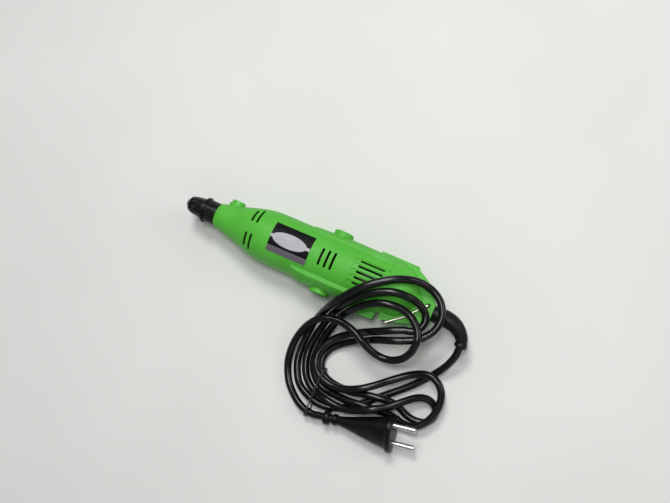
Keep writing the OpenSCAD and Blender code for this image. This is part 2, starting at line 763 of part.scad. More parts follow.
module nose_cap() {
    color("#202024") difference() {
        turn(concat([[cap_room_r, cap_x], [cap_rim_r, cap_x + 1]], [for (q = cap_line) [q[1], q[0]]],
            [[cap_end_r, flange_x]]));
        rod(cap_x - over, cap_lip_x + tiny, cap_mouth_r);
        rod(cap_lip_x, collar_x, cap_room_r);
        rod(collar_x - slide_gap, flange_x + over, collar_nose_r + run_gap);
        for (i = [0 : cap_slots - 1])
            along_x(cap_slot_x) rotate(360 * (i + 0.5) / cap_slots)
                translate([cap_slot_in_r, -cap_slot[1] / 2, 0]) cube(cap_slot);
    }
}

module collet_nut() {
    color("#9a9ca0") difference() {
        union() {
            cone(nut_x, nut_cone_end_x, nut_tip_r, nut_r);
            rod(nut_cone_end_x - tiny, nut_end_x, nut_r);
            along_x(nut_hex_x) cylinder(h = nut_hex_long, r = nut_hex_r, $fn = 6);
        }
        rod(nut_x - over, nut_bore_end_x, collet_r + run_gap);
        rod(spindle_x - 0.5, nut_end_x + over, spindle_head_r + run_gap);
    }
}

module collet() {
    color("#b8babd") difference() {
        rod(collet_x, nut_end_x, collet_r);
        rod(collet_x - over, nut_end_x + over, collet_bore_r);
        for (turn = [45, 135])
            along_x(collet_x - over) rotate(turn)
                translate([-2 * collet_r, -slit_w / 2, 0]) cube([4 * collet_r, slit_w, slit_long + over]);
    }
}

module spindle() {
    color("#8f9195") difference() {
        union() {
            rod(spindle_x, spindle_step_x + tiny, spindle_head_r);
            rod(spindle_step_x, spindle_end_x, shaft_r);
            rod(lock_x - lock_flange_half, lock_x + lock_flange_half, lock_flange_r);
        }
        rod(spindle_x - over, spindle_bore_end_x, collet_r + run_gap);
        cross_rod(lock_x, 0, -lock_flange_r - over, lock_flange_r + over, lock_pin_r + 0.1);
        upright(lock_x, 0, -lock_flange_r - over, lock_flange_r + over, lock_pin_r + 0.1);
    }
}

module bearing(x, outer, inner) {
    mid = (outer + inner) / 2;
    difference() {
        ring(x, x + bearing_w, outer, inner + run_gap);
        ring(x - over, x + 0.5, mid + 0.9, mid - 0.9);
        ring(x + bearing_w - 0.5, x + bearing_w + over, mid + 0.9, mid - 0.9);
    }
}

module spindle_front_bearing() {
    color("#a9abaf") bearing(front_bearing_x, spindle_bearing_r, shaft_r);
}

module spindle_rear_bearing() {
    color("#a9abaf") bearing(rear_bearing_x, spindle_bearing_r, shaft_r);
}

module motor_front_bearing() {
    color("#a9abaf") bearing(motor_front_x, motor_front_r, shaft_r);
}

module motor_rear_bearing() {
    color("#a9abaf") bearing(motor_rear_x, motor_rear_r, rear_journal_r);
}

module shaft_coupling() {
    color("#2a2a2e") difference() {
        rod(coupling_x, coupling_end_x, coupling_r);
        rod(coupling_x - over, coupling_end_x + over, shaft_r + run_gap);
        for (i = [0 : 5])
            along_x(coupling_x + 3) rotate(60 * i)
                translate([coupling_r, 0, 0]) cylinder(h = 8.5, r = 0.9);
    }
}

module armature_shaft() {
    color("#8f9195") {
        rod(shaft_start_x, shaft_step_x + tiny, shaft_r);
        rod(shaft_step_x, shaft_end_x, rear_journal_r);
    }
}

module armature_core() {
    color("#5d5f63") difference() {
        rod(core_x, core_end_x, armature_r);
        rod(core_x - over, core_end_x + over, shaft_r + run_gap);
        for (i = [0 : armature_slots - 1])
            along_x(core_x - over) rotate(360 * i / armature_slots)
                translate([armature_r - armature_slot_deep, -0.6, 0])
                    cube([armature_slot_deep + over, 1.2, core_end_x - core_x + 2 * over]);
    }
}

module armature_winding() {
    color("#a5562c") {
        winding_end(core_x - winding_long, core_x);
        winding_end(core_end_x, core_end_x + winding_long);
    }
}

module winding_end(x0, x1) {
    difference() {
        turn([[winding_r - 1.6, x0], [winding_r - 0.3, x0 + 0.7], [winding_r, x0 + 1.7],
            [winding_r, x1 - 1.7], [winding_r - 0.3, x1 - 0.7], [winding_r - 1.6, x1]]);
        rod(x0 - over, x1 + over, shaft_r + run_gap);
    }
}

module commutator() {
    color("#b87333") difference() {
        rod(commutator_x, commutator_end_x, commutator_r);
        rod(commutator_x - over, commutator_end_x + over, shaft_r + run_gap);
        for (i = [0 : commutator_bars - 1])
            along_x(commutator_x + 1.5) rotate(360 * i / commutator_bars)
                translate([commutator_r - 0.6, -0.2, 0]) cube([2, 0.4, 12]);
    }
}

module cooling_fan() {
    color("#303238") difference() {
        union() {
            rod(fan_x, fan_end_x, fan_hub_r);
            rod(fan_end_x - 1.4, fan_end_x, fan_r);
            for (i = [0 : fan_blades - 1])
                along_x(fan_x + 1) rotate(360 * i / fan_blades)
                    translate([fan_hub_r - over, -blade_t / 2, 0])
                        cube([fan_r - fan_hub_r + 0.2, blade_t, fan_end_x - fan_x - 1.5]);
        }
        rod(fan_x - over, fan_end_x + over, shaft_r + run_gap);
    }
}

// Everything above or below the axis that lies within half of the middle
module half_block(side, half) {
    block([-reach, -half, side > 0 ? 0 : -reach], [2 * reach, 2 * half, reach]);
}

module stator_core() {
    color("#55575b") {
        ring(stator_x, stator_end_x, stator_r, yoke_in_r);
        for (side = [-1, 1]) {
            intersection() {
                ring(stator_x, stator_end_x, pole_out_r, pole_in_r);
                half_block(side, pole_half);
            }
            intersection() {
                ring(stator_x, stator_end_x, yoke_in_r + 0.5, pole_out_r - 0.6);
                half_block(side, neck_half);
            }
        }
    }
}

module field_coils() {
    color("#a5562c") for (side = [-1, 1])
        difference() {
            intersection() {
                ring(stator_x - coil_over, stator_end_x + coil_over, coil_out_r, coil_in_r);
                half_block(side, coil_half);
            }
            block([stator_x - slide_gap, -neck_half - slide_gap, -barrel_r],
                [stator_end_x - stator_x + 2 * slide_gap, 2 * (neck_half + slide_gap), 2 * barrel_r]);
        }
}

// Pieces of the brush gear, drawn on one flank
module on_flank(side) {
    translate([brush_x, 0, axis_z]) rotate([-90 * side, 0, 0]) children();
}

module brush_holder(side) {
    color("#b5913c") on_flank(side) difference() {
        translate([-holder_half[0], -holder_half[1], holder_in_y])
            cube([2 * holder_half[0], 2 * holder_half[1], cap_seat_y - holder_in_y]);
        translate([-brush_half[0] - run_gap, -brush_half[1] - run_gap, 0])
            cube([2 * (brush_half[0] + run_gap), 2 * (brush_half[1] + run_gap), boss_out]);
    }
}

module carbon_brush(side) {
    color("#2b2b2b") on_flank(side)
        translate([-brush_half[0], -brush_half[1], brush_in_y])
            cube([2 * brush_half[0], 2 * brush_half[1], brush_out_y - brush_in_y]);
}

module brush_spring(side) {
    color("#b0b2b6") on_flank(side) difference() {
        translate([0, 0, brush_out_y]) cylinder(h = cap_seat_y - brush_out_y, r = brush_spring_r);
        cylinder(h = boss_out, r = brush_spring_in_r);
    }
}

module brush_cap(side) {
    color("#1f1f22") on_flank(side) difference() {
        translate([0, 0, cap_seat_y]) cylinder(h = brush_cap_out - cap_seat_y, r = brush_cap_r);
        translate([0, 0, brush_cap_out]) cube([9, 1.4, 2.4], center = true);
    }
}

module brush_holder_right() { brush_holder(1); }
module brush_holder_left() { brush_holder(-1); }
module carbon_brush_right() { carbon_brush(1); }
module carbon_brush_left() { carbon_brush(-1); }
module brush_spring_right() { brush_spring(1); }
module brush_spring_left() { brush_spring(-1); }
module brush_cap_right() { brush_cap(1); }
module brush_cap_left() { brush_cap(-1); }

module lock_button() {
    color("#4fa63a") difference() {
        union() {
            cross_rod(lock_x, 0, button_in_y, button_out_y - 0.6, button_r);
            translate([lock_x, button_out_y - 0.61, axis_z]) rotate([-90, 0, 0])
                cylinder(h = 0.61, r1 = button_r, r2 = button_r - 0.6);
            cross_rod(lock_x, 0, lock_pin_tip_y, button_in_y + button_pocket_deep, lock_pin_r);
        }
        difference() {
            cross_rod(lock_x, 0, button_in_y - over, button_in_y + button_pocket_deep - 0.6,
                button_pocket_r);
            cross_rod(lock_x, 0, 0, button_in_y + button_pocket_deep, lock_pin_r);
        }
    }
}

module lock_spring() {
    color("#b0b2b6") difference() {
        cross_rod(lock_x, 0, lock_seat_y + lock_seat_t, button_in_y, lock_spring_r);
        cross_rod(lock_x, 0, 0, 30, lock_spring_r - 0.7);
    }
}

module switch_body() {
    color("#26262a") difference() {
        block([switch_x, switch_in_y, switch_low_z], switch_size);
        block([slider_x + 2 - slider_travel - slide_gap, stem_in_y - slide_gap,
                slider_z - stem_half - slide_gap],
            [stem_long + slider_travel + 2 * slide_gap, switch_size[1], 2 * (stem_half + slide_gap)]);
    }
}

module switch_slider() {
    color("#1f1f23") {
        block([slider_x + 2, stem_in_y, slider_z - stem_half],
            [stem_long, slider_in_y - stem_in_y + tiny, 2 * stem_half]);
        block([slider_x, slider_in_y, slider_z - slider_half],
            [slider_long, slider_out_y - slider_in_y - 0.6, 2 * slider_half]);
        for (i = [0 : 4])
            block([slider_x + 1 + 2.2 * i, slider_out_y - 0.7, slider_z - slider_half + 0.4],
                [1.2, 0.7, 2 * slider_half - 0.8]);
    }
}

module control_board() {
    color("#2f6b3c") block([board_x, board_y, board_z], [board_long, board_w, board_t]);
}

module suppression_capacitor() {
    color("#c9b24a") block(capacitor_at, capacitor_size);
}

module speed_potentiometer() {
    color("#3a4f7a") {
        block(pot_at, pot_size);
        cross_rod(dial_x, dial_z, pot_out_y - tiny, dial_y + dial_w + 2.2, dial_bore_r);
    }
}

module speed_dial() {
    color("#1f1f23") difference() {
        cross_rod(dial_x, dial_z, dial_y, dial_y + dial_w, dial_r);
        cross_rod(dial_x, dial_z, dial_y - over, dial_y + dial_w + over, dial_bore_r + run_gap);
        for (i = [0 : dial_notches - 1])
            translate([dial_x, dial_y - over, axis_z + dial_z]) rotate([-90, 0, 0])
                rotate(360 * i / dial_notches) translate([dial_r + 0.2, 0, 0])
                    cylinder(h = dial_w + 2 * over, r = 0.6);
    }
}

module cord_clamp() {
    color("#26262a") translate([0, cord_y, 0]) difference() {
        block([clamp_x, -clamp_half, 0], [clamp_w, 2 * clamp_half, clamp_h]);
        rod(clamp_x - over, clamp_x + clamp_w + over, cord_r + run_gap);
        for (side = [-1, 1])
            upright(clamp_x + clamp_w / 2, side * clamp_screw_y, -over, clamp_h + over,
                clamp_screw_r + run_gap);
    }
}

module clamp_screws() {
    color("#8c8e92") translate([0, cord_y, 0]) for (side = [-1, 1])
        difference() {
            union() {
                upright(clamp_x + clamp_w / 2, side * clamp_screw_y, -screw_deep, clamp_h + tiny,
                    clamp_screw_r);
                upright(clamp_x + clamp_w / 2, side * clamp_screw_y, clamp_h,
                    clamp_h + clamp_head_h, clamp_head_r);
            }
            block([clamp_x, side * clamp_screw_y - 0.35, clamp_h + clamp_head_h - 0.8],
                [clamp_w, 0.7, 2]);
        }
}

module inner_cord() {
    color("#1a1b1e") translate([0, cord_y, 0]) {
        rod(inner_cord_x, neck_x, cord_r);
        for (side = [-1, 1]) {
            translate([0, side * lead_y, 0]) {
                rod(lead_x, inner_cord_x + tiny, lead_r);
                upright(lead_x, 0, board_z + board_t, 0, lead_r);
                translate([lead_x, 0, axis_z]) sphere(lead_r);
            }
        }
    }
}

module hanging_bail() {
    color("#b9bbbf") {
        for (side = [-1, 1])
            translate([pivot[0], pivot[1], axis_z + side * (lug_half_height - peg_deep)])
                mirror([0, 0, side > 0 ? 0 : 1])
                    cylinder(h = leg_lift - lug_half_height + peg_deep, r = wire_r);
        tube(bail_path(), wire_r, wire_sides);
    }
}

// The wire's line from one end of the pivot round to the other
function bail_leg(side) = let (
        run = concat([pivot], beside(-1, bail_plan)),
        last = len(run) - 1,
        tip = beside(-1, [bail_end])[0])
    concat([for (i = [0 : last]) [run[i][0], run[i][1],
            axis_z + side * (i < last ? leg_lift : leg_lift - bail_lift_in)]],
        [[tip[0], tip[1], axis_z + side * (leg_lift - bail_corner)]]);
function bail_path() = let (top = bail_leg(1), low = bail_leg(-1))
    concat(top, [for (i = [len(low) - 1 : -1 : 0]) low[i]]);

// A point on the plug's axis, x from where the cord enters
plug_way = [cos(plug_pitch) * cos(plug_yaw), cos(plug_pitch) * sin(plug_yaw), sin(plug_pitch)];
function plug_point(x) = plug_face + (x - plug_long) * plug_way;

// The cord leaves the sleeve square to its end face
sleeve_last = len(sleeve_line) - 1;
sleeve_end = sleeve_line[sleeve_last] + [0, 0, axis_z];
sleeve_way = unit(sleeve_line[sleeve_last] - sleeve_line[sleeve_last - 1]);
function cord_line() = concat([sleeve_end],
    smooth(concat([sleeve_end + cord_d * sleeve_way], lead_run, loop_one, loop_two, loop_three,
        [plug_point(-1.8 * cord_d), plug_point(-cord_d)]), cord_steps),
    [plug_point(0)]);

// Distance from the point p to the line from a to b
function off_line(p, a, b) =
    let (s = b - a, t = min(1, max(0, (p - a) * s / (s * s))))
        norm(p - a - t * s);

// Least gap between stretches of the line p that lie more than skip steps apart
function least_gap(p, skip) = min([for (i = [0 : len(p) - skip - 2])
    min([for (j = [i + skip : len(p) - 2]) off_line(p[i], p[j], p[j + 1])])]) - cord_d;

module cord() {
    line = cord_line();
    echo(least_gap_of_the_cord_to_itself = least_gap(line, 6));
    color("#17181b") tube(line, cord_r, cord_sides);
}

module bend_sleeve() {
    color("#1b1c1f") {
        translate([0, cord_y, 0]) {
            rod(neck_x, neck_x + neck_flange_w, neck_flange_r);
            rod(neck_x, tail_x + over, neck_r);
        }
        tube([for (q = sleeve_line) [q[0], q[1], axis_z + q[2]]],
            [for (q = sleeve_taper) sleeve_r - q], sleeve_sides);
    }
}

// Places with the plug's axis as local X, the cord entering at the origin
module on_plug() {
    translate(plug_point(0)) rotate([0, 0, plug_yaw]) rotate([0, -plug_pitch, 0])
        rotate([plug_roll, 0, 0]) children();
}

function rounded(c) = sign(c) * pow(abs(c), 2 / plug_square);

// A body through rounded sections given as distance, half width and half height
module lofted(p, n) {
    last = (len(p) - 1) * n;
    polyhedron(
        points = concat(
            [for (q = p) for (k = [0 : n - 1])
                [q[0], q[1] * rounded(cos(360 * k / n)), q[2] * rounded(sin(360 * k / n))]],
            [[p[0][0], 0, 0], [p[len(p) - 1][0], 0, 0]]),
        faces = concat(
            [for (i = [0 : len(p) - 2]) for (k = [0 : n - 1])
                [i * n + (k + 1) % n, i * n + k, (i + 1) * n + k]],
            [for (i = [0 : len(p) - 2]) for (k = [0 : n - 1])
                [(i + 1) * n + (k + 1) % n, i * n + (k + 1) % n, (i + 1) * n + k]],
            [for (k = [0 : n - 1]) [last + n, k, (k + 1) % n]],
            [for (k = [0 : n - 1]) [last + n + 1, last + (k + 1) % n, last + k]]));
}

module plug_body() {
    color("#1a1b1e") on_plug() difference() {
        union() {
            rotate([0, 90, 0]) {
                cylinder(h = plug_flange_w, r = plug_flange_r);
                cylinder(h = plug_body_line[0][0] + 1, r = plug_neck_r);
                translate([0, 0, plug_bead[0]]) cylinder(h = plug_bead[1] - plug_bead[0], r = plug_bead[2]);
            }
            lofted(plug_body_line, plug_sides);
        }
        for (side = [-1, 1])
            translate([plug_long - pin_root_deep, side * pin_half_gap, 0]) rotate([0, 90, 0])
                cylinder(h = pin_root_deep + over, r = pin_root_r);
    }
}

module plug_pins() {
    color("#c4c6c9") on_plug() for (side = [-1, 1])
        translate([plug_long, side * pin_half_gap, 0]) rotate([0, 90, 0]) {
            translate([0, 0, -pin_root_deep]) cylinder(h = pin_root_deep, r = pin_root_r);
            cylinder(h = pin_long - pin_tip, r = pin_r);
            translate([0, 0, pin_long - pin_tip])
                cylinder(h = pin_tip, r1 = pin_r, r2 = pin_r - pin_tip);
        }
}

module cord_tie() {
    color("#141416") tube(smooth(tie_line, 2), tie_r, cord_sides);
}

housing_upper();
housing_lower();
housing_screws();
label_plate();
nose_collar();
nose_cap();
collet_nut();
collet();
spindle();
spindle_front_bearing();
spindle_rear_bearing();
shaft_coupling();
armature_shaft();
armature_core();
armature_winding();
commutator();
cooling_fan();
motor_front_bearing();
motor_rear_bearing();
stator_core();
field_coils();
brush_holder_right();
brush_holder_left();
carbon_brush_right();
carbon_brush_left();
brush_spring_right();
brush_spring_left();
brush_cap_right();
brush_cap_left();
lock_button();
lock_spring();
switch_body();
switch_slider();
control_board();
suppression_capacitor();
speed_potentiometer();
speed_dial();
cord_clamp();
clamp_screws();
inner_cord();
hanging_bail();
bend_sleeve();
cord();
cord_tie();
plug_body();
plug_pins();
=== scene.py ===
"""Rotary tool with its mains cord, on a pale floor.

The tool lies label up with its nose to -X. Lengths in the tables are millimetres in the part's own
frame, and mm() turns them into metres. The cord, bend sleeve, tie, plug, bail and springs are swept
or lofted here; every other piece is the solid itself with its own material.
"""
import math

import bpy
import numpy as np
from mathutils import Matrix, Vector


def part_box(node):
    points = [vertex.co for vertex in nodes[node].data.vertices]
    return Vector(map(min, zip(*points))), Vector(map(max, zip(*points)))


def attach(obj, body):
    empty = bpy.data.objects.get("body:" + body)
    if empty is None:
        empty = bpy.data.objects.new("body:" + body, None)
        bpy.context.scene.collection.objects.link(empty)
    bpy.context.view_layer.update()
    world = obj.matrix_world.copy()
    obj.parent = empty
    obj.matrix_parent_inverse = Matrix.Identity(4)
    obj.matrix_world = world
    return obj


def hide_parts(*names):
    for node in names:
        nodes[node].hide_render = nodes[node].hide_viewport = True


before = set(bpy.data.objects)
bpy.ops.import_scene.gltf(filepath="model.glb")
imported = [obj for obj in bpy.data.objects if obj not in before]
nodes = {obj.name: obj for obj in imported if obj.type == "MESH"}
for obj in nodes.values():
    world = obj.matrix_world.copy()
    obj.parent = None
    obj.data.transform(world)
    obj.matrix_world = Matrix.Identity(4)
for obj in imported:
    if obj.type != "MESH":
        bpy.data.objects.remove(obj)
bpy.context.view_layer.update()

# ---------------------------------------------------------------- measures in millimetres
# Height of the tool's axis over the floor
AXIS_Z = 23.0
CORD_D = 6.4
SLEEVE_R = 7.5
WIRE_R = 1.0
TIE_R = 0.6
# The housing's rear face, and the front and radius of the neck that holds the sleeve in it
TAIL_X = 120.0
NECK_X = 111.0
NECK_R = 4.2

# Centre line of the bend sleeve, its height counted from the axis
SLEEVE_LINE = [
    [120, -5, 0], [126, -5, 0], [132, -5.1, 0], [137, -5.9, -0.1], [141.5, -7.6, -0.3],
    [145.5, -10.3, -0.6], [148.7, -13.6, -1.1], [150.4, -16.4, -1.6], [151.1, -19, -2.1],
    [151.1, -19.2, -2.15], [151, -22.2, -3]]
# How much less than SLEEVE_R the sleeve's radius is at each point of its line
SLEEVE_TAPER = [0.5, 0, 0.1, 0.4, 0.9, 1.5, 2.1, 2.5, 2.7, 2.2, 2.3]
# Ring and groove near its tip: height, distance from the tip, half width
SLEEVE_RING = (0.45, 2.0, 1.1)
SLEEVE_GROOVE = (-0.35, 4.4, 0.55)
# Rounding of its two ends: depth, and the length over which it falls
SLEEVE_TIP_ROUND = (-0.7, 0.7)
SLEEVE_ROOT_ROUND = (-0.6, 0.8)

# Middle of the plug's face, and how the plug is turned, in degrees
PLUG_FACE = np.array([128.9, -110.2, 15.2])
PLUG_ROLL, PLUG_PITCH, PLUG_YAW = 38.0, 6.6, 11.0
PLUG_LONG = 61.5
# Power of the superellipse that the round neck grows into, from where, and over what length
PLUG_SQUARE, SQUARE_FROM, SQUARE_OVER = 2.5, 13, 10
# Sections of the plug: distance from the cord's end, half width, half height
PLUG_NECK = [
    [0, 5.2, 5.2], [0.3, 5.7, 5.7], [0.8, 6, 6], [4.2, 6, 6], [4.8, 5.6, 5.6], [5, 3.7, 3.7],
    [6.2, 3.6, 3.6], [7.6, 3.6, 3.6], [8, 4.3, 4.3], [8.5, 4.8, 4.8], [11.4, 4.8, 4.8],
    [11.9, 4.4, 4.4], [12.2, 3.7, 3.7], [13.4, 3.8, 3.75]]
PLUG_BODY = [
    [16, 4.2, 4.1], [20, 4.9, 4.7], [26, 6.2, 5.7], [33, 8.1, 6.9], [41, 10.4, 8.2],
    [49, 12.4, 9.4], [54, 13.4, 10], [56.6, 14, 10.4]]
PLUG_PLATE = [
    [56.9, 14.3, 10.6], [57.05, 15.4, 11.3], [57.3, 16, 11.7], [57.8, 16.4, 12],
    [60.5, 16.4, 12], [61, 16.3, 11.9], [61.35, 16, 11.6], [61.5, 15.5, 11.2]]
# Finger hollows: depth, distance along the plug, half length, and share of the half width
HOLLOW_DEEP, HOLLOW_X, HOLLOW_LONG, HOLLOW_WIDE = 0.9, 38, 9, 0.62

# The tie's wire, once round the strands
TIE_LINE = [
    [52.1, -128, 4.6], [52.1, -127.6, 7.8], [52.1, -126, 9.6], [52.2, -123, 10.2],
    [52.4, -114, 11.4], [52.6, -105, 13.4], [52.8, -97.5, 15.4], [53, -92.5, 16.1],
    [53, -88, 14.4], [53, -84.9, 9.5], [53, -83.8, 5], [53, -84.6, 2], [53, -87, 0.8],
    [53.1, -95, 0.75], [53.2, -105, 0.75], [53.4, -115, 0.75], [53.6, -124.2, 0.8],
    [53.8, -127.3, 2.2], [53.9, -127.9, 5.5], [53.9, -127.4, 8.2], [53.9, -125.6, 10],
    [53.9, -121.5, 10.7]]

# The cord from the bend sleeve to the left of the hank, then its three turns
LEAD_RUN = [
    [149.3, -34, 15.8], [145.7, -41.7, 10.8], [139.8, -50.4, 6.8], [131, -61, 4.2],
    [121, -72, 3.35], [105, -87, 3.35], [89, -102, 3.35], [76, -110.5, 3.35], [63, -114, 4.5],
    [50, -112.3, 4.8], [36, -105, 3.5], [27.5, -91, 3.35], [24.8, -76, 3.35]]
LOOP_ONE = [
    [25, -63, 5], [27.8, -52, 12], [33.7, -41.3, 24], [42, -30.5, 38.5], [51.5, -20, 47.5],
    [61, -10, 51.2], [71, -1.5, 51.2], [81.5, 5.5, 50.4], [91, 10, 48], [100.5, 12.5, 43.5],
    [110, 12, 39.5], [118.5, 8.5, 38], [125, 2.5, 37.7], [128.8, -5.5, 37.6], [129, -14.5, 37.6],
    [125.5, -23, 37.6], [118, -31, 37.6], [108, -36.5, 37.6], [97, -41, 37], [86, -44.7, 30.5],
    [76.5, -49, 20.5], [67, -53, 10.5], [57, -59, 4.5], [49.2, -67, 3.35], [46, -77.5, 3.35],
    [49.5, -86.5, 4.4], [57, -91.5, 5], [67, -93.5, 5.2], [80, -93, 7.5], [91.5, -90.5, 9.9],
    [103, -88.5, 10.4], [113, -87, 9], [122, -87.8, 4.8], [132.5, -91.8, 3.35],
    [141.5, -92.6, 3.35], [149.8, -89.6, 3.35], [153.4, -82, 3.35], [150.2, -74.8, 4]]
LOOP_TWO = [
    [142.5, -72, 6.6], [134, -75, 9.4], [125, -82.7, 12.4], [115, -92, 15], [104, -99, 17.4],
    [94, -104.5, 15.5], [84, -108, 11.8], [74, -109, 10.2], [64, -108, 9.6],
    [55.5, -106.5, 6.5], [47.3, -103.8, 4.6], [38.8, -96.3, 3.5], [33.5, -85.5, 3.35],
    [31.6, -73, 3.35], [33, -60, 5], [36.2, -49.5, 10.5], [41.5, -39, 21.5], [48.8, -29.7, 33.5],
    [57.5, -21.3, 43.8], [67, -13.5, 49], [77, -7.5, 50.4], [87.5, -3.5, 50.2], [98, -2.5, 47.5],
    [105.5, -3.2, 43], [111.3, -5.5, 40], [116, -9.6, 38.1], [118, -16, 37.6], [116, -22.6, 37.6],
    [111.4, -26.6, 37.6], [104.5, -28.6, 37.6], [95, -33, 38], [86, -37.3, 35.5],
    [77, -41, 27.5], [68, -45, 18.5], [59, -50, 11.8], [50.5, -57, 10], [44.5, -66, 9.9],
    [42, -76.5, 9.9], [45, -86.5, 10.5], [53, -92.5, 11.6], [64, -95, 12.2], [76, -93, 14],
    [88, -87.5, 16.8], [98, -80, 15.5], [108, -71, 12.5], [119, -61.5, 11], [129, -55.5, 12],
    [137.5, -53.5, 13.5], [145.5, -56, 14.2], [151.5, -62.5, 13.5], [154, -71.5, 12.5],
    [153, -81.5, 11.5], [149, -90.5, 10.5], [141.5, -97.8, 9.4], [132, -99.3, 6],
    [124, -97.8, 3.8]]
LOOP_THREE = [
    [115, -97.3, 5.5], [106, -98.5, 9.6], [94, -99.5, 10.5], [82, -101, 9], [71, -101.3, 6.5],
    [61, -100.8, 4.8], [52, -98, 4.8], [44.5, -91.8, 3.7], [40, -83, 3.35], [38.8, -71.5, 3.35],
    [40.4, -59, 5], [44.2, -48, 11.5], [49.8, -38.2, 22.5], [57.5, -30.5, 34], [66, -23.5, 42],
    [76, -17.5, 46.8], [86, -14.5, 47.8], [96, -13.5, 46.3], [105, -15.7, 44.7],
    [112, -20.5, 44.6], [117, -27, 44.8], [119, -34.5, 44.5], [117.5, -43, 40], [112, -50.5, 33],
    [103, -55.3, 28.5], [92.5, -56, 28], [82.5, -53.5, 31], [73.5, -49.2, 33], [64.5, -45.3, 32],
    [54.5, -43, 30], [45, -43.5, 29], [36, -46.5, 28], [28.5, -52.5, 23.5], [22.5, -61.5, 17],
    [18.8, -72.5, 11], [18, -84, 6.5], [20.2, -95, 4], [27, -107.5, 3.35], [37, -116.8, 3.8],
    [47, -122.3, 5.2]]

# Outline of the body's upper side: distance along the axis and radius
BODY_LINE = [
    [-89.5, 9.5], [-88.4, 10.6], [-85.8, 11.6], [-78, 13.5], [-67.3, 16.1], [-60, 18.4],
    [-52.5, 20.5], [-45, 22.3], [-38, 23.25], [-31, 23.5], [84, 23.5]]
# The outline's radii are read as shares of this one
OUTLINE_TOP = 25
# Depth under the outline at which painted shade begins to darken the vents' walls, and where they
# are fully dark
PAINTED_SHADE_FROM, PAINTED_SHADE_FULL = 1.9, 3.6
# Half width of the parting line, from its dark middle to its edge
SEAM_DARK_TO, SEAM_EDGE = 0.06, 0.16
# The bail's dimples, floored with painted shade: radius of the dark floor and of the edge, then
# the depth at which a dimple is fully dark and the depth at which its painted shade begins
PIT_DARK_TO, PIT_EDGE = 1.75, 1.95
PIT_DARK_FROM, PIT_SHADE_FROM = 0.25, 0.05

# On the label: the grey band's inner edge, the bar's half width, the blank oval, and the spacing
# of the fine lines
BAND_EDGE = -7.7
BAR_HALF = 1.4
OVAL_MIDDLE, OVAL_HALF = (-12.6, 0.6), (16.0, 6.2)
LINES_APART = 0.4

# The bail: its pivot, the lug's half height, and its legs and cross piece seen from above
PIVOT = [114.5, -1.3]
LUG_HALF = 8.5
PEG_DEEP = 3.2
LEG_GAP = 0.3
LEG_LIFT = LUG_HALF + LEG_GAP + WIRE_R
BAIL_PLAN = [
    [114.5, -1.3], [111, -5.1], [107, -9.5], [104, -13.2], [101, -17], [97, -20.4], [92, -24.4],
    [88.5, -27.3]]
BAIL_END = [86.7, -28.9]
BAIL_CORNER = 2.0

# ---------------------------------------------------------------- camera
CAMERA_AT = (0.18586, -0.06068, 0.74752)
CAMERA_RIGHT = Vector((0.8977, 0.4091, -0.1635))
CAMERA_AHEAD = Vector((-0.2203, 0.0956, -0.9707))
CAMERA_LENS = 46.48
SENSOR = 36.0


def put_camera():
    """A camera with no shift. Its back points against CAMERA_AHEAD, its right is CAMERA_RIGHT less
    the part along the back, and its up is the cross product of back and right."""
    data = bpy.data.cameras.new("camera")
    data.lens = CAMERA_LENS
    data.sensor_width = SENSOR
    data.sensor_fit = "HORIZONTAL"
    data.clip_start = 0.01
    data.clip_end = 20
    camera = bpy.data.objects.new("camera", data)
    bpy.context.scene.collection.objects.link(camera)
    back = -CAMERA_AHEAD.normalized()
    right = (CAMERA_RIGHT - CAMERA_RIGHT.dot(back) * back).normalized()
    up = back.cross(right)
    turn = Matrix((right, up, back)).transposed().to_4x4()
    camera.matrix_world = Matrix.Translation(CAMERA_AT) @ turn
    bpy.context.scene.camera = camera


put_camera()


# ---------------------------------------------------------------- lines and surfaces
def mm(points):
    """Millimetres into metres."""
    return np.asarray(points, float) / 1000.0


def unit(v):
    """The vector divided by its own length."""
    v = np.asarray(v, float)
    return v / np.linalg.norm(v)


def smooth(points, steps):
    """Catmull-Rom curve: each stretch between two points is a cubic whose slope at a point is half
    the difference of its two neighbours."""
    p = np.asarray(points, float)
    t = (np.arange(steps) / steps)[None, :, None]
    a, b, c, d = (q[:, None, :] for q in (np.vstack([p[:1], p[:-2]]), p[:-1], p[1:],
                                          np.vstack([p[2:], p[-1:]])))
    curve = 0.5 * (2 * b + (c - a) * t + (2 * a - 5 * b + 4 * c - d) * t ** 2
                   + (3 * b - a - 3 * c + d) * t ** 3)
    return np.vstack([curve.reshape(-1, p.shape[1]), p[-1:]])


def along(path):
    """Distance along a path at each of its points."""
    return np.concatenate([[0], np.cumsum(np.linalg.norm(np.diff(path, axis=0), axis=1))])


def evenly(path, step):
    """The same path with its points about step apart, read off the straight lines between the old
    ones."""
    s = along(path)
    want = np.linspace(0, s[-1], max(int(round(s[-1] / step)), 2) + 1)
    return np.stack([np.interp(want, s, path[:, k]) for k in range(3)], axis=1)


def side_vectors(path):
    """Two unit vectors square to the path at each point, carried along without twist: each is the
    last one less its part along the new heading."""
    head = np.gradient(path, axis=0)
    head /= np.linalg.norm(head, axis=1)[:, None]
    u = np.zeros_like(path)
    first = np.cross(head[0], [0.1, 0.2, 1.0])
    u[0] = first / np.linalg.norm(first)
    for i in range(1, len(path)):
        w = u[i - 1] - np.dot(u[i - 1], head[i]) * head[i]
        u[i] = w / np.linalg.norm(w)
    return u, np.cross(head, u)


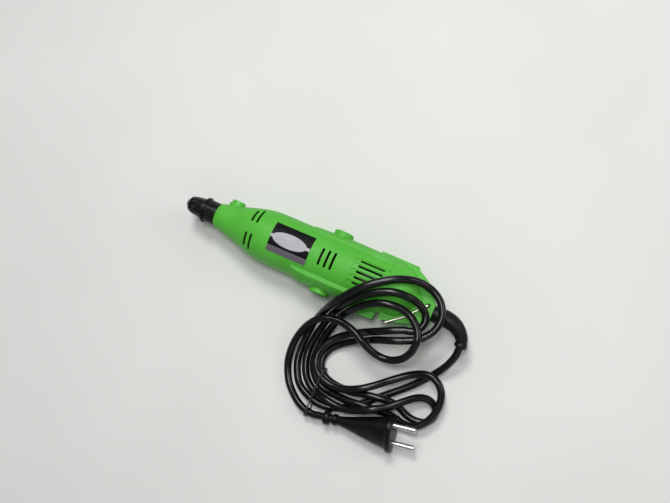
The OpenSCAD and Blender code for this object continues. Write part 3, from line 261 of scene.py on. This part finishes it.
def skin(name, rings, sharp):
    """A closed surface over rings of equal count: four-sided faces between neighbouring rings, and
    a fan of triangles from each end ring to its middle. Edges over sharp degrees are left sharp."""
    rings = np.asarray(rings, float)
    count, sides = rings.shape[:2]
    points = np.vstack([rings.reshape(-1, 3), rings[0].mean(0), rings[-1].mean(0)])
    here = np.arange(sides)
    after = (here + 1) % sides
    ring = np.arange(count - 1)[:, None] * sides
    wall = np.stack([ring + here, ring + after, ring + after + sides, ring + here + sides], -1)
    last = (count - 1) * sides
    front = np.stack([np.full(sides, count * sides), after, here], -1)
    back = np.stack([np.full(sides, count * sides + 1), last + here, last + after], -1)
    faces = wall.reshape(-1, 4).tolist() + front.tolist() + back.tolist()
    mesh = bpy.data.meshes.new(name)
    mesh.from_pydata(points.tolist(), [], faces)
    mesh.update()
    mesh.shade_smooth()
    mesh.set_sharp_from_angle(angle=math.radians(sharp))
    piece = bpy.data.objects.new(name, mesh)
    bpy.context.scene.collection.objects.link(piece)
    return piece


def swept(path, radius, sides):
    """Rings round a path: each point plus the radius times the cosine and sine of an even turn
    along the two side vectors. The radius is one number or one for each point."""
    u, v = side_vectors(path)
    r = np.broadcast_to(np.asarray(radius, float), (len(path),))
    a = np.arange(sides) * 2 * math.pi / sides
    return (path[:, None, :] + r[:, None, None] * (np.cos(a)[None, :, None] * u[:, None, :]
                                                   + np.sin(a)[None, :, None] * v[:, None, :]))


def cornered(points, reach, steps):
    """A path with each corner cut back by reach and bridged by a quadratic curve."""
    p = np.asarray(points, float)
    out = [p[0]]
    for i in range(1, len(p) - 1):
        a, b = p[i - 1] - p[i], p[i + 1] - p[i]
        ra = min(reach, 0.45 * np.linalg.norm(a))
        rb = min(reach, 0.45 * np.linalg.norm(b))
        start, end = p[i] + ra * unit(a), p[i] + rb * unit(b)
        for t in np.linspace(0, 1, steps):
            out.append((1 - t) ** 2 * start + 2 * t * (1 - t) * p[i] + t ** 2 * end)
    out.append(p[-1])
    return np.array(out)


# ---------------------------------------------------------------- the plug's own frame
def plug_turn():
    """Roll about the plug's length, then pitch it up, then turn it round the vertical."""
    r, p, y = (math.radians(a) for a in (PLUG_ROLL, PLUG_PITCH, PLUG_YAW))
    roll = np.array([[1, 0, 0], [0, math.cos(r), -math.sin(r)], [0, math.sin(r), math.cos(r)]])
    pitch = np.array([[math.cos(p), 0, -math.sin(p)], [0, 1, 0], [math.sin(p), 0, math.cos(p)]])
    yaw = np.array([[math.cos(y), -math.sin(y), 0], [math.sin(y), math.cos(y), 0], [0, 0, 1]])
    return yaw @ pitch @ roll


PLUG_TURN = plug_turn()
PLUG_WAY = PLUG_TURN @ np.array([1.0, 0, 0])


def plug_point(x):
    """A point on the plug's axis, x from where the cord enters."""
    return PLUG_FACE + (x - PLUG_LONG) * PLUG_WAY


def on_plug(points):
    """Points of the plug's own frame, with the cord entering at its origin, placed in the part."""
    return plug_point(0) + np.asarray(points, float) @ PLUG_TURN.T


# ---------------------------------------------------------------- cord
SLEEVE_PATH = np.asarray(SLEEVE_LINE, float) + [0, 0, AXIS_Z]
SLEEVE_END = SLEEVE_PATH[-1]
SLEEVE_WAY = unit(SLEEVE_PATH[-1] - SLEEVE_PATH[-2])


def cord_path():
    """The cord's centre line: straight out of the sleeve, through the route, straight into the
    plug."""
    route = np.vstack([
        [SLEEVE_END + CORD_D * SLEEVE_WAY], LEAD_RUN, LOOP_ONE, LOOP_TWO, LOOP_THREE,
        [plug_point(-1.8 * CORD_D), plug_point(-CORD_D)]])
    line = np.vstack([[SLEEVE_END], smooth(route, steps=8), [plug_point(0)]])
    return evenly(line, step=1.6)


def make_cord():
    """A round tube of even thickness along the cord's centre line."""
    path = cord_path()
    piece = skin("mains_cord", mm(swept(path, CORD_D / 2, sides=24)), sharp=60)
    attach(piece, "housing")
    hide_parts("cord")
    return piece, path


cord, CORD_PATH = make_cord()


def make_sleeve():
    """A tapered tube bent with the cord. The taper is smoothed by a running mean over 21 points, a
    ring and a groove near the tip are bell curves added to the radius, and both ends fall away as
    the square of the distance. A thin neck goes on into the housing."""
    line = smooth(SLEEVE_PATH, steps=8)
    s = along(line)
    knots = along(SLEEVE_PATH)
    knots = knots * s[-1] / knots[-1]
    path = evenly(line, step=0.4)
    s = along(path)
    base = np.interp(s, knots, SLEEVE_R - np.asarray(SLEEVE_TAPER))
    kernel = np.hanning(21)
    kernel /= kernel.sum()
    base = np.convolve(np.pad(base, 10, mode="edge"), kernel, mode="valid")
    left = s[-1] - s
    high, from_tip, half = SLEEVE_RING
    ring = high * np.exp(-((left - from_tip) / half) ** 4)
    high, from_tip, half = SLEEVE_GROOVE
    groove = high * np.exp(-((left - from_tip) / half) ** 2)
    high, reach = SLEEVE_TIP_ROUND
    tip = high * np.clip(1 - left / reach, 0, 1) ** 2
    high, reach = SLEEVE_ROOT_ROUND
    root = high * np.clip(1 - s / reach, 0, 1) ** 2
    radius = base + ring + groove + tip + root
    neck = np.array([[NECK_X + 0.1, SLEEVE_PATH[0][1], AXIS_Z],
                     [TAIL_X - 0.02, SLEEVE_PATH[0][1], AXIS_Z]])
    radius = np.concatenate([[NECK_R, NECK_R], radius])
    rings = swept(np.vstack([neck, path]), radius, sides=40)
    piece = skin("bend_sleeve_moulding", mm(rings), sharp=50)
    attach(piece, "housing")
    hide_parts("bend_sleeve")
    return piece


sleeve = make_sleeve()


def make_tie():
    """A plastic-covered wire led round the strands, round in section, its ends cut off blunt."""
    path = evenly(smooth(TIE_LINE, steps=8), step=0.7)
    piece = skin("twist_tie", mm(swept(path, TIE_R, sides=12)), sharp=50)
    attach(piece, "housing")
    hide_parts("cord_tie")
    return piece


tie = make_tie()


def rounded(c, power):
    """One coordinate of a superellipse: the cosine or sine keeps its sign, and its size is raised
    to 2 over the power."""
    return np.sign(c) * np.abs(c) ** (2 / power)


def make_plug():
    """Sections run from the cord's neck, round, to the face, a superellipse. Half width and half
    height are interpolated smoothly along the length; a shallow hollow is pressed into the two wide
    faces for the fingers, and the rim of the face plate is rounded."""
    fine = smooth(PLUG_BODY, steps=12)
    x = np.linspace(fine[0, 0], fine[-1, 0], 46)
    body = np.stack([x, np.interp(x, fine[:, 0], fine[:, 1]), np.interp(x, fine[:, 0], fine[:, 2])],
                    axis=1)
    x, w, h = np.vstack([PLUG_NECK, body, PLUG_PLATE]).T[:, :, None]
    a = np.arange(96)[None, :] * 2 * math.pi / 96
    power = 2 + (PLUG_SQUARE - 2) * np.clip((x - SQUARE_FROM) / SQUARE_OVER, 0, 1)
    y, z = w * rounded(np.cos(a), power), h * rounded(np.sin(a), power)
    hollow = HOLLOW_DEEP * np.exp(-((x - HOLLOW_X) / HOLLOW_LONG) ** 2
                                  - (y / (HOLLOW_WIDE * w)) ** 4)
    z = z - np.sign(z) * hollow * (np.abs(z) > 0.3 * h) * np.sin(a) ** 2
    piece = skin("plug_moulding", mm(on_plug(np.stack([x + 0 * y, y, z], -1))), sharp=35)
    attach(piece, "housing")
    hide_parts("plug_body")
    return piece


plug = make_plug()


def make_bail():
    """A steel wire bent in one piece: a peg into the lug, a leg over its face, the cross piece, and
    the same back below."""
    def leg(side):
        """Peg and leg on one side of the lug, 1 above and -1 below, as far as the cross piece."""
        z = AXIS_Z + side * LEG_LIFT
        peg = [[PIVOT[0], PIVOT[1], AXIS_Z + side * (LUG_HALF - PEG_DEEP)], [PIVOT[0], PIVOT[1], z]]
        run = smooth([[x, y, z] for x, y in [*BAIL_PLAN, BAIL_END]], steps=3)[1:]
        return peg + run.tolist()
    path = evenly(cornered(leg(1) + leg(-1)[::-1], BAIL_CORNER, steps=7), step=0.35)
    piece = skin("bail_wire", mm(swept(path, WIRE_R, sides=20)), sharp=50)
    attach(piece, "hanging_bail")
    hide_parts("hanging_bail")
    return piece


bail = make_bail()


def make_spring(name, turns, wire):
    """A coil spring along Y in the room that its solid holds: the wire's centre goes round at the
    box's half width less the wire's radius, at an even pitch, with 0.8 of a turn at each end
    flat."""
    low, high = (1000 * np.asarray(corner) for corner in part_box(name))
    middle = (low + high) / 2
    t = np.linspace(0, 1, int(turns * 28))
    flat = 1 / turns
    rise = np.clip((t - 0.8 * flat) / (1 - 1.6 * flat), 0, 1)
    around = (high[0] - low[0]) / 2 - wire
    angle = 2 * math.pi * turns * t
    line = np.stack([middle[0] + around * np.cos(angle),
                     low[1] + wire + (high[1] - low[1] - 2 * wire) * rise,
                     middle[2] + around * np.sin(angle)], 1)
    piece = skin(name + "_coil", mm(swept(line, wire, sides=8)), sharp=50)
    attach(piece, "housing")
    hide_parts(name)
    return piece


springs = [make_spring("brush_spring_right", 9, 0.24), make_spring("brush_spring_left", 9, 0.24),
           make_spring("lock_spring", 4, 0.3)]


# ---------------------------------------------------------------- materials
# Blender gives its Mix node's colour sockets by number
MIX_A, MIX_B, MIX_OUT = 6, 7, 2
# Radius of the tiny rounding that every real edge has, as the light sees it
EDGE_ROUND = 0.00025

SHELL_MAIN, SHELL_SECOND = "#4FAE35", "#56B63C"
# The parting line's own dark colour, then the painted shade of the vents' walls and of the bail's
# dimples
SEAM_DARK, VENT_PAINTED_SHADE, PIT_PAINTED_SHADE = "#2A5C1E", "#10150E", "#0C120A"


def colour(code):
    """sRGB hex into the linear colour that shaders take: up to 0.04045 it is divided by 12.92, and
    above that it follows a power of 2.4."""
    code = code.lstrip("#")
    value = [int(code[i:i + 2], 16) / 255 for i in (0, 2, 4)]
    return [v / 12.92 if v <= 0.04045 else ((v + 0.055) / 1.055) ** 2.4 for v in value] + [1.0]


def add(tree, kind, inputs, out=0, **settings):
    """Add one node. Each input takes a value or another node's output, settings are the node's own
    properties, and the output called out comes back."""
    made = tree.nodes.new("ShaderNode" + kind)
    for name, value in settings.items():
        setattr(made, name, value)
    for socket, value in inputs.items():
        if isinstance(value, bpy.types.NodeSocket):
            tree.links.new(value, made.inputs[socket])
        else:
            made.inputs[socket].default_value = value
    return made.outputs[out]


def start(name, roughness, metallic=0.0, specular=0.5, coat=0.0):
    """A new material whose even values sit on the shader itself, its node tree, and the place on
    the object."""
    material = bpy.data.materials.new(name)
    material.use_nodes = True
    tree = material.node_tree
    shader = tree.nodes["Principled BSDF"]
    even = {"Roughness": roughness, "Metallic": metallic, "Specular IOR Level": specular,
            "Coat Weight": coat, "Coat Roughness": 0.12}
    for socket, value in even.items():
        shader.inputs[socket].default_value = value
    return material, tree, add(tree, "TexCoord", {}, "Object")


def patches(tree, place, size_mm, low=0.0, high=1.0, detail=2.0, stretch=(1, 1, 1)):
    """Cloudy noise with blotches about size_mm across, from low to high. A stretch under 1 draws
    the blotches out along that axis."""
    spot = add(tree, "Mapping", {"Vector": place, "Scale": stretch})
    noise = add(tree, "TexNoise", {"Vector": spot, "Scale": 1000 / size_mm, "Detail": detail})
    return add(tree, "MapRange", {"Value": noise, "From Min": 0.35, "From Max": 0.65,
                                  "To Min": low, "To Max": high})


def tinted(tree, place, size_mm, main, second, stretch=(1, 1, 1)):
    """A colour that drifts between two close tints in blotches about size_mm across."""
    share = patches(tree, place, size_mm, stretch=stretch)
    return add(tree, "Mix", {"Factor": share, MIX_A: colour(main), MIX_B: colour(second)}, MIX_OUT,
               data_type="RGBA")


def lay(tree, tint, rough, relief, deep_mm, edged=True):
    """Colour, roughness and relief into the shader. The relief stands deep_mm from low to high. On
    a piece with edges it rides on a normal that turns smoothly round each of them."""
    shader = tree.nodes["Principled BSDF"]
    inputs = {"Height": relief, "Distance": deep_mm / 1000}
    if edged:
        inputs["Normal"] = add(tree, "Bevel", {"Radius": EDGE_ROUND}, samples=4)
    normal = add(tree, "Bump", inputs)
    for socket, value in (("Base Color", tint), ("Roughness", rough), ("Normal", normal)):
        tree.links.new(value, shader.inputs[socket])


def moulded(name, main, second, roughness, grain_mm=0.5, deep_mm=0.008, patch_mm=22,
            specular=0.5, wander=0.06, edged=True):
    """Moulded plastic or rubber: the mould's fine eroded grain as relief, colour that is faintly
    cloudy where the melt flowed, and roughness that wanders a little. The real grain is near 0.1 mm
    across and is drawn coarser so that it shows."""
    material, tree, place = start(name, roughness, specular=specular)
    lay(tree, tinted(tree, place, patch_mm, main, second),
        patches(tree, place, patch_mm * 0.3, roughness - wander, roughness + wander, detail=3),
        patches(tree, place, grain_mm), deep_mm, edged)
    return material


def shell_green():
    """The shell's plastic. The parting line is dark where the height off the axis is least. Painted
    shade darkens the walls under the skin by depth, which is the body's outline less the distance
    from the axis. The bail's dimples get painted shade within their radius of the pivot, under the
    lug's face."""
    material, tree, place = start("glass_filled_polyamide_green", 0.5, specular=0.28)
    axes = add(tree, "SeparateXYZ", {"Vector": place}).node.outputs
    up = add(tree, "Math", {0: axes["Z"], 1: AXIS_Z / 1000}, operation="SUBTRACT")
    off = add(tree, "Math", {0: up}, operation="ABSOLUTE")
    seam = add(tree, "MapRange", {"Value": off, "From Min": SEAM_DARK_TO / 1000,
                                  "From Max": SEAM_EDGE / 1000, "To Min": 1, "To Max": 0})
    first, last = BODY_LINE[0][0], BODY_LINE[-1][0]
    share = add(tree, "MapRange", {"Value": axes["X"], "From Min": first / 1000,
                                   "From Max": last / 1000})
    outline = add(tree, "FloatCurve", {"Value": share})
    line = outline.node.mapping.curves[0]
    for _ in BODY_LINE[2:]:
        line.points.new(0.5, 0.5)
    for spot, (x, r) in zip(line.points, BODY_LINE):
        spot.location = ((x - first) / (last - first), r / OUTLINE_TOP)
        spot.handle_type = "VECTOR"
    outline.node.mapping.update()
    across = add(tree, "CombineXYZ", {"Y": axes["Y"], "Z": up})
    away = add(tree, "VectorMath", {0: across}, "Value", operation="LENGTH")
    deep = add(tree, "Math", {0: outline, 1: OUTLINE_TOP / 1000, 2: add(
        tree, "Math", {0: away, 1: -1.0}, operation="MULTIPLY")}, operation="MULTIPLY_ADD")
    # Painted shade: the walls under the skin darken with depth, ahead of the tail
    under = add(tree, "MapRange", {"Value": deep, "From Min": PAINTED_SHADE_FROM / 1000,
                                   "From Max": PAINTED_SHADE_FULL / 1000})
    barrel = add(tree, "MapRange", {"Value": axes["X"], "From Min": last / 1000,
                                    "From Max": last / 1000 + 0.0001, "To Min": 1, "To Max": 0})
    vent_shade = add(tree, "Math", {0: under, 1: barrel}, operation="MULTIPLY")
    # Painted shade in the bail's dimples: dark near the pivot and under the lug's face
    flat = add(tree, "CombineXYZ", {"X": axes["X"], "Y": axes["Y"]})
    pivot = add(tree, "VectorMath", {0: flat, 1: (PIVOT[0] / 1000, PIVOT[1] / 1000, 0)}, "Value",
                operation="DISTANCE")
    near = add(tree, "MapRange", {"Value": pivot, "From Min": PIT_DARK_TO / 1000,
                                  "From Max": PIT_EDGE / 1000, "To Min": 1, "To Max": 0})
    sunk = add(tree, "MapRange", {"Value": off, "From Min": (LUG_HALF - PIT_DARK_FROM) / 1000,
                                  "From Max": (LUG_HALF - PIT_SHADE_FROM) / 1000,
                                  "To Min": 1, "To Max": 0})
    pit_shade = add(tree, "Math", {0: near, 1: sunk}, operation="MULTIPLY")
    tint = tinted(tree, place, 30, SHELL_MAIN, SHELL_SECOND)
    # The parting line's own dark, then painted shade in the vents' walls and in the bail's dimples
    for mask, dark in ((seam, SEAM_DARK), (vent_shade, VENT_PAINTED_SHADE), (pit_shade, PIT_PAINTED_SHADE)):
        tint = add(tree, "Mix", {"Factor": mask, MIX_A: tint, MIX_B: colour(dark)}, MIX_OUT,
                   data_type="RGBA")
    lay(tree, tint, patches(tree, place, 9, low=0.45, high=0.56, detail=3),
        patches(tree, place, 0.45), deep_mm=0.007)
    return material


def turned_metal(name, main, second, roughness, marks_mm=0.5, stretch=(1, 0.06, 0.06),
                 deep_mm=0.002, metallic=1.0, coat=0.0, wander=0.07, edged=True):
    """Cut, drawn or wound metal: marks marks_mm apart, drawn out by the stretch into rings or
    strands, in the colour, the gloss and the relief. A real tool leaves marks near 0.1 mm apart,
    which are drawn coarser so that they show."""
    material, tree, place = start(name, roughness, metallic, coat=coat)
    lay(tree, tinted(tree, place, marks_mm, main, second, stretch),
        patches(tree, place, marks_mm, roughness - wander, roughness + wander, detail=3,
                stretch=stretch),
        patches(tree, place, marks_mm, stretch=stretch), deep_mm, edged)
    return material


def label_face():
    """A black plate with a plain grey band along one long edge, and a plain silver bar across its
    middle that swells to a blank oval. The oval is where the distance from its centre, with y
    scaled by the ratio of its halves, is under its half length. Fine lines run along the plate in
    gloss and relief, and in the colour of band and bar. They are drawn coarser than real brushing
    so that they show."""
    material, tree, place = start("printed_aluminium_plate", 0.5, specular=0.12)
    y = add(tree, "SeparateXYZ", {"Vector": place}, "Y")
    band = add(tree, "MapRange", {"Value": y, "From Min": BAND_EDGE / 1000,
                                  "From Max": BAND_EDGE / 1000 + 0.0001, "To Min": 1, "To Max": 0})
    middle_x, middle_y = OVAL_MIDDLE
    half_long, half_high = OVAL_HALF
    centre = (middle_x / 1000, middle_y / 1000, 0)
    widening = (1, half_long / half_high, 0)
    from_centre = add(tree, "VectorMath", {0: place, 1: centre}, "Vector", operation="SUBTRACT")
    widened = add(tree, "VectorMath", {0: from_centre, 1: widening}, "Vector",
                  operation="MULTIPLY")
    away = add(tree, "VectorMath", {0: widened}, "Value", operation="LENGTH")
    oval = add(tree, "MapRange", {"Value": away, "From Min": half_long / 1000,
                                  "From Max": half_long / 1000 + 0.0001, "To Min": 1, "To Max": 0})
    shifted = add(tree, "Math", {0: y, 1: -middle_y / 1000}, operation="ADD")
    off = add(tree, "Math", {0: shifted}, operation="ABSOLUTE")
    strip = add(tree, "MapRange", {"Value": off, "From Min": BAR_HALF / 1000,
                                   "From Max": BAR_HALF / 1000 + 0.00005, "To Min": 1, "To Max": 0})
    bar = add(tree, "Math", {0: strip, 1: oval}, operation="MAXIMUM")
    along_plate = (0.04, 1.0, 1.0)
    tint = tinted(tree, place, 12, "#0B0A0D", "#100F12")
    for mask, main, second in ((band, "#5A585C", "#67656A"), (bar, "#A3A4A7", "#B9BABD")):
        tint = add(tree, "Mix", {"Factor": mask, MIX_A: tint, MIX_B: tinted(
            tree, place, LINES_APART, main, second, along_plate)}, MIX_OUT, data_type="RGBA")
    lay(tree, tint, patches(tree, place, LINES_APART, low=0.46, high=0.58, stretch=along_plate),
        patches(tree, place, LINES_APART, stretch=along_plate), deep_mm=0.002)
    return material


# Moulded polyamide with glass fibre: a satin skin with broad, soft lights
GREEN = shell_green()
# Moulded polyamide, better polished than the shell: the same green with a tighter light
BUTTON = moulded("polyamide_green", "#52B03C", "#5ABA45", 0.36, patch_mm=12, deep_mm=0.004)
# ABS from a polished mould: near black, with a sharp line of light along each ring
BLACK = moulded("abs_black", "#09090B", "#0F0F11", 0.32, deep_mm=0.004, patch_mm=12, specular=0.32)
# Plain polyamide, eroded mould: dull black whose lights spread wide
NYLON = moulded("polyamide_black", "#111113", "#19191C", 0.5, patch_mm=10, specular=0.4)
# Soft PVC moulded over the cord: deep black, grey only where it faces the light
SLEEVE = moulded("soft_pvc_sleeve", "#08090A", "#0C0D0F", 0.44, grain_mm=0.6, patch_mm=14,
                 specular=0.24, wander=0.03, edged=False)
PLUG = moulded("soft_pvc_plug", "#060707", "#0A0A0C", 0.38, deep_mm=0.004, patch_mm=14,
               specular=0.24)
# Extruded PVC: smooth from the die, with one thin even light along each strand
JACKET = moulded("extruded_pvc_jacket", "#050606", "#090A0A", 0.24, grain_mm=3, deep_mm=0.003,
                 patch_mm=30, specular=0.36, wander=0.02, edged=False)
# PVC over wire: small, smooth and dull
TIE = moulded("pvc_coated_wire", "#2B2C2E", "#363739", 0.42, grain_mm=0.8, patch_mm=6,
              specular=0.4, edged=False)
# Solder lacquer over glass laminate: glossy, with the weave's faint waves
BOARD = moulded("lacquered_laminate", "#1E4728", "#275730", 0.3, grain_mm=1.2, deep_mm=0.005,
                patch_mm=6)
# Dipped epoxy and polyester cases: smooth and even. The epoxy case's yellow is darkened as painted
# shade inside the housing; the polyester case is dimmed by dust
YELLOW = moulded("dipped_epoxy_case", "#4C4528", "#585030", 0.5, grain_mm=0.8, deep_mm=0.005,
                 patch_mm=8)
BLUE = moulded("polyester_case", "#26355A", "#2F3D66", 0.42, grain_mm=0.8, deep_mm=0.005,
               patch_mm=8)
# Pressed carbon: dead matt with coarse grains
CARBON = moulded("pressed_carbon", "#1B1B1C", "#272728", 0.62, grain_mm=0.35, deep_mm=0.015,
                 patch_mm=3)
# Free-cutting steel, turned: grey with rings that catch the light one after another
STEEL = turned_metal("turned_steel", "#8E9094", "#A6A8AC", 0.3)
# Zinc plate over steel: pale and half dull, so a turned rim shows as a light line
ZINC = turned_metal("zinc_plated_steel", "#B9BABC", "#CBCCCD", 0.42)
# Bearing and collet steel, ground: brighter, with marks too fine to see apart
BRIGHT = turned_metal("ground_steel", "#B0B2B6", "#C6C8CB", 0.22, stretch=(1, 1, 1), deep_mm=0.001)
# Spring steel wire, nickel plated: warm and bright, with one soft line of light along it
WIRE = turned_metal("nickel_plated_wire", "#C9C3B6", "#DCD7CB", 0.34, marks_mm=20,
                    stretch=(1, 1, 1), deep_mm=0.001, wander=0.02, edged=False)
# Spring wire, oil hardened: the same steel, a little darker
SPRING = turned_metal("oil_hardened_wire", "#97989B", "#ABACAF", 0.28, marks_mm=6,
                      stretch=(1, 1, 1), deep_mm=0.001, wander=0.02, edged=False)
# Nickel plated brass pins: pale and bright, with faint scuffs
PINS = turned_metal("nickel_plated_brass", "#D2D3D4", "#E2E3E3", 0.28, marks_mm=20,
                    stretch=(1, 1, 1), deep_mm=0.001, wander=0.02, edged=False)
# Stacked steel sheets: dark, dull, with a line at each sheet
DULL = turned_metal("stacked_sheet_steel", "#36373A", "#454649", 0.5, 0.5, (4, 0.2, 0.2),
                    deep_mm=0.01)
# Stamped brass: dull gold, dimmed by dust
BRASS = turned_metal("stamped_brass", "#4A3D1E", "#5A4A26", 0.5, stretch=(1, 1, 1), deep_mm=0.002)
# Copper bars, turned smooth and browned by the brushes
COMMUTATOR = turned_metal("commutator_copper", "#2C1A10", "#3A2417", 0.55)
# Enamelled wire under varnish: strands side by side, brown and partly glossy
COPPER = turned_metal("varnished_copper_wire", "#1C110B", "#281910", 0.55, 0.6, (1, 0.1, 0.1),
                      deep_mm=0.03, metallic=0.4, coat=0.1)
# Printed aluminium plate: a dull black print, and bare brushed metal that shows fine lines
LABEL = label_face()

# The nodes that each material covers
LOOKS = {
    GREEN: ["housing_upper", "housing_lower"],
    BUTTON: ["lock_button"],
    LABEL: ["label_plate"],
    BLACK: ["nose_collar", "nose_cap"],
    NYLON: ["shaft_coupling", "cooling_fan", "brush_cap_right", "brush_cap_left", "switch_body",
            "switch_slider", "speed_dial", "cord_clamp"],
    STEEL: ["spindle", "armature_shaft", "clamp_screws", "housing_screws"],
    ZINC: ["collet_nut"],
    BRIGHT: ["collet", "spindle_front_bearing", "spindle_rear_bearing", "motor_front_bearing",
             "motor_rear_bearing"],
    SPRING: ["brush_spring_right", "brush_spring_left", "lock_spring"],
    WIRE: ["hanging_bail"],
    DULL: ["armature_core", "stator_core"],
    COPPER: ["armature_winding", "field_coils"],
    COMMUTATOR: ["commutator"],
    BRASS: ["brush_holder_right", "brush_holder_left"],
    CARBON: ["carbon_brush_right", "carbon_brush_left"],
    BOARD: ["control_board"],
    YELLOW: ["suppression_capacitor"],
    BLUE: ["speed_potentiometer"],
    JACKET: ["inner_cord", "cord"],
    SLEEVE: ["bend_sleeve"],
    TIE: ["cord_tie"],
    PLUG: ["plug_body"],
    PINS: ["plug_pins"]}


def dress(piece, material):
    """One material over the whole piece."""
    piece.data.materials.clear()
    piece.data.materials.append(material)


for material, names in LOOKS.items():
    for name in names:
        dress(nodes[name], material)
for piece, material in ((cord, JACKET), (sleeve, SLEEVE), (tie, TIE), (plug, PLUG), (bail, WIRE)):
    dress(piece, material)
for piece in springs:
    dress(piece, SPRING)


# ---------------------------------------------------------------- floor and light
def put_floor():
    """A wide pale sheet just under the object."""
    mesh = bpy.data.meshes.new("floor")
    w, z = 3.0, -0.0002
    mesh.from_pydata([(-w, -w, z), (w, -w, z), (w, w, z), (-w, w, z)], [], [(0, 1, 2, 3)])
    floor = bpy.data.objects.new("floor", mesh)
    bpy.context.scene.collection.objects.link(floor)
    material, tree, place = start("matt_paint", 0.7, specular=0.3)
    tree.links.new(tinted(tree, place, 160, "#DCDCD9", "#E0E0DD"),
                   tree.nodes["Principled BSDF"].inputs["Base Color"])
    dress(floor, material)


def put_light(name, at, towards, size, power):
    """A square soft light that faces a point."""
    data = bpy.data.lights.new(name, "AREA")
    data.size = size
    data.energy = power
    light = bpy.data.objects.new(name, data)
    bpy.context.scene.collection.objects.link(light)
    way = Vector(towards) - Vector(at)
    light.matrix_world = Matrix.Translation(at) @ way.to_track_quat("-Z", "Y").to_matrix().to_4x4()


put_floor()
put_light("key", (-0.25, 0.62, 1.25), (0.03, -0.03, 0.02), 0.42, 9.5)
put_light("fill", (0.75, -0.85, 0.8), (0.03, -0.03, 0.02), 0.9, 1.4)
put_light("rim", (0.9, 0.6, 0.7), (0.05, -0.03, 0.02), 0.5, 2.4)
put_light("top", (0.1, 0.06, 1.2), (0.05, -0.05, 0.02), 0.26, 4.5)
world = bpy.data.worlds.new("studio")
bpy.context.scene.world = world
world.use_nodes = True
world.node_tree.nodes["Background"].inputs["Color"].default_value = colour("#F2F3F5")
world.node_tree.nodes["Background"].inputs["Strength"].default_value = 0.25
bpy.context.scene.view_settings.view_transform = "Standard"
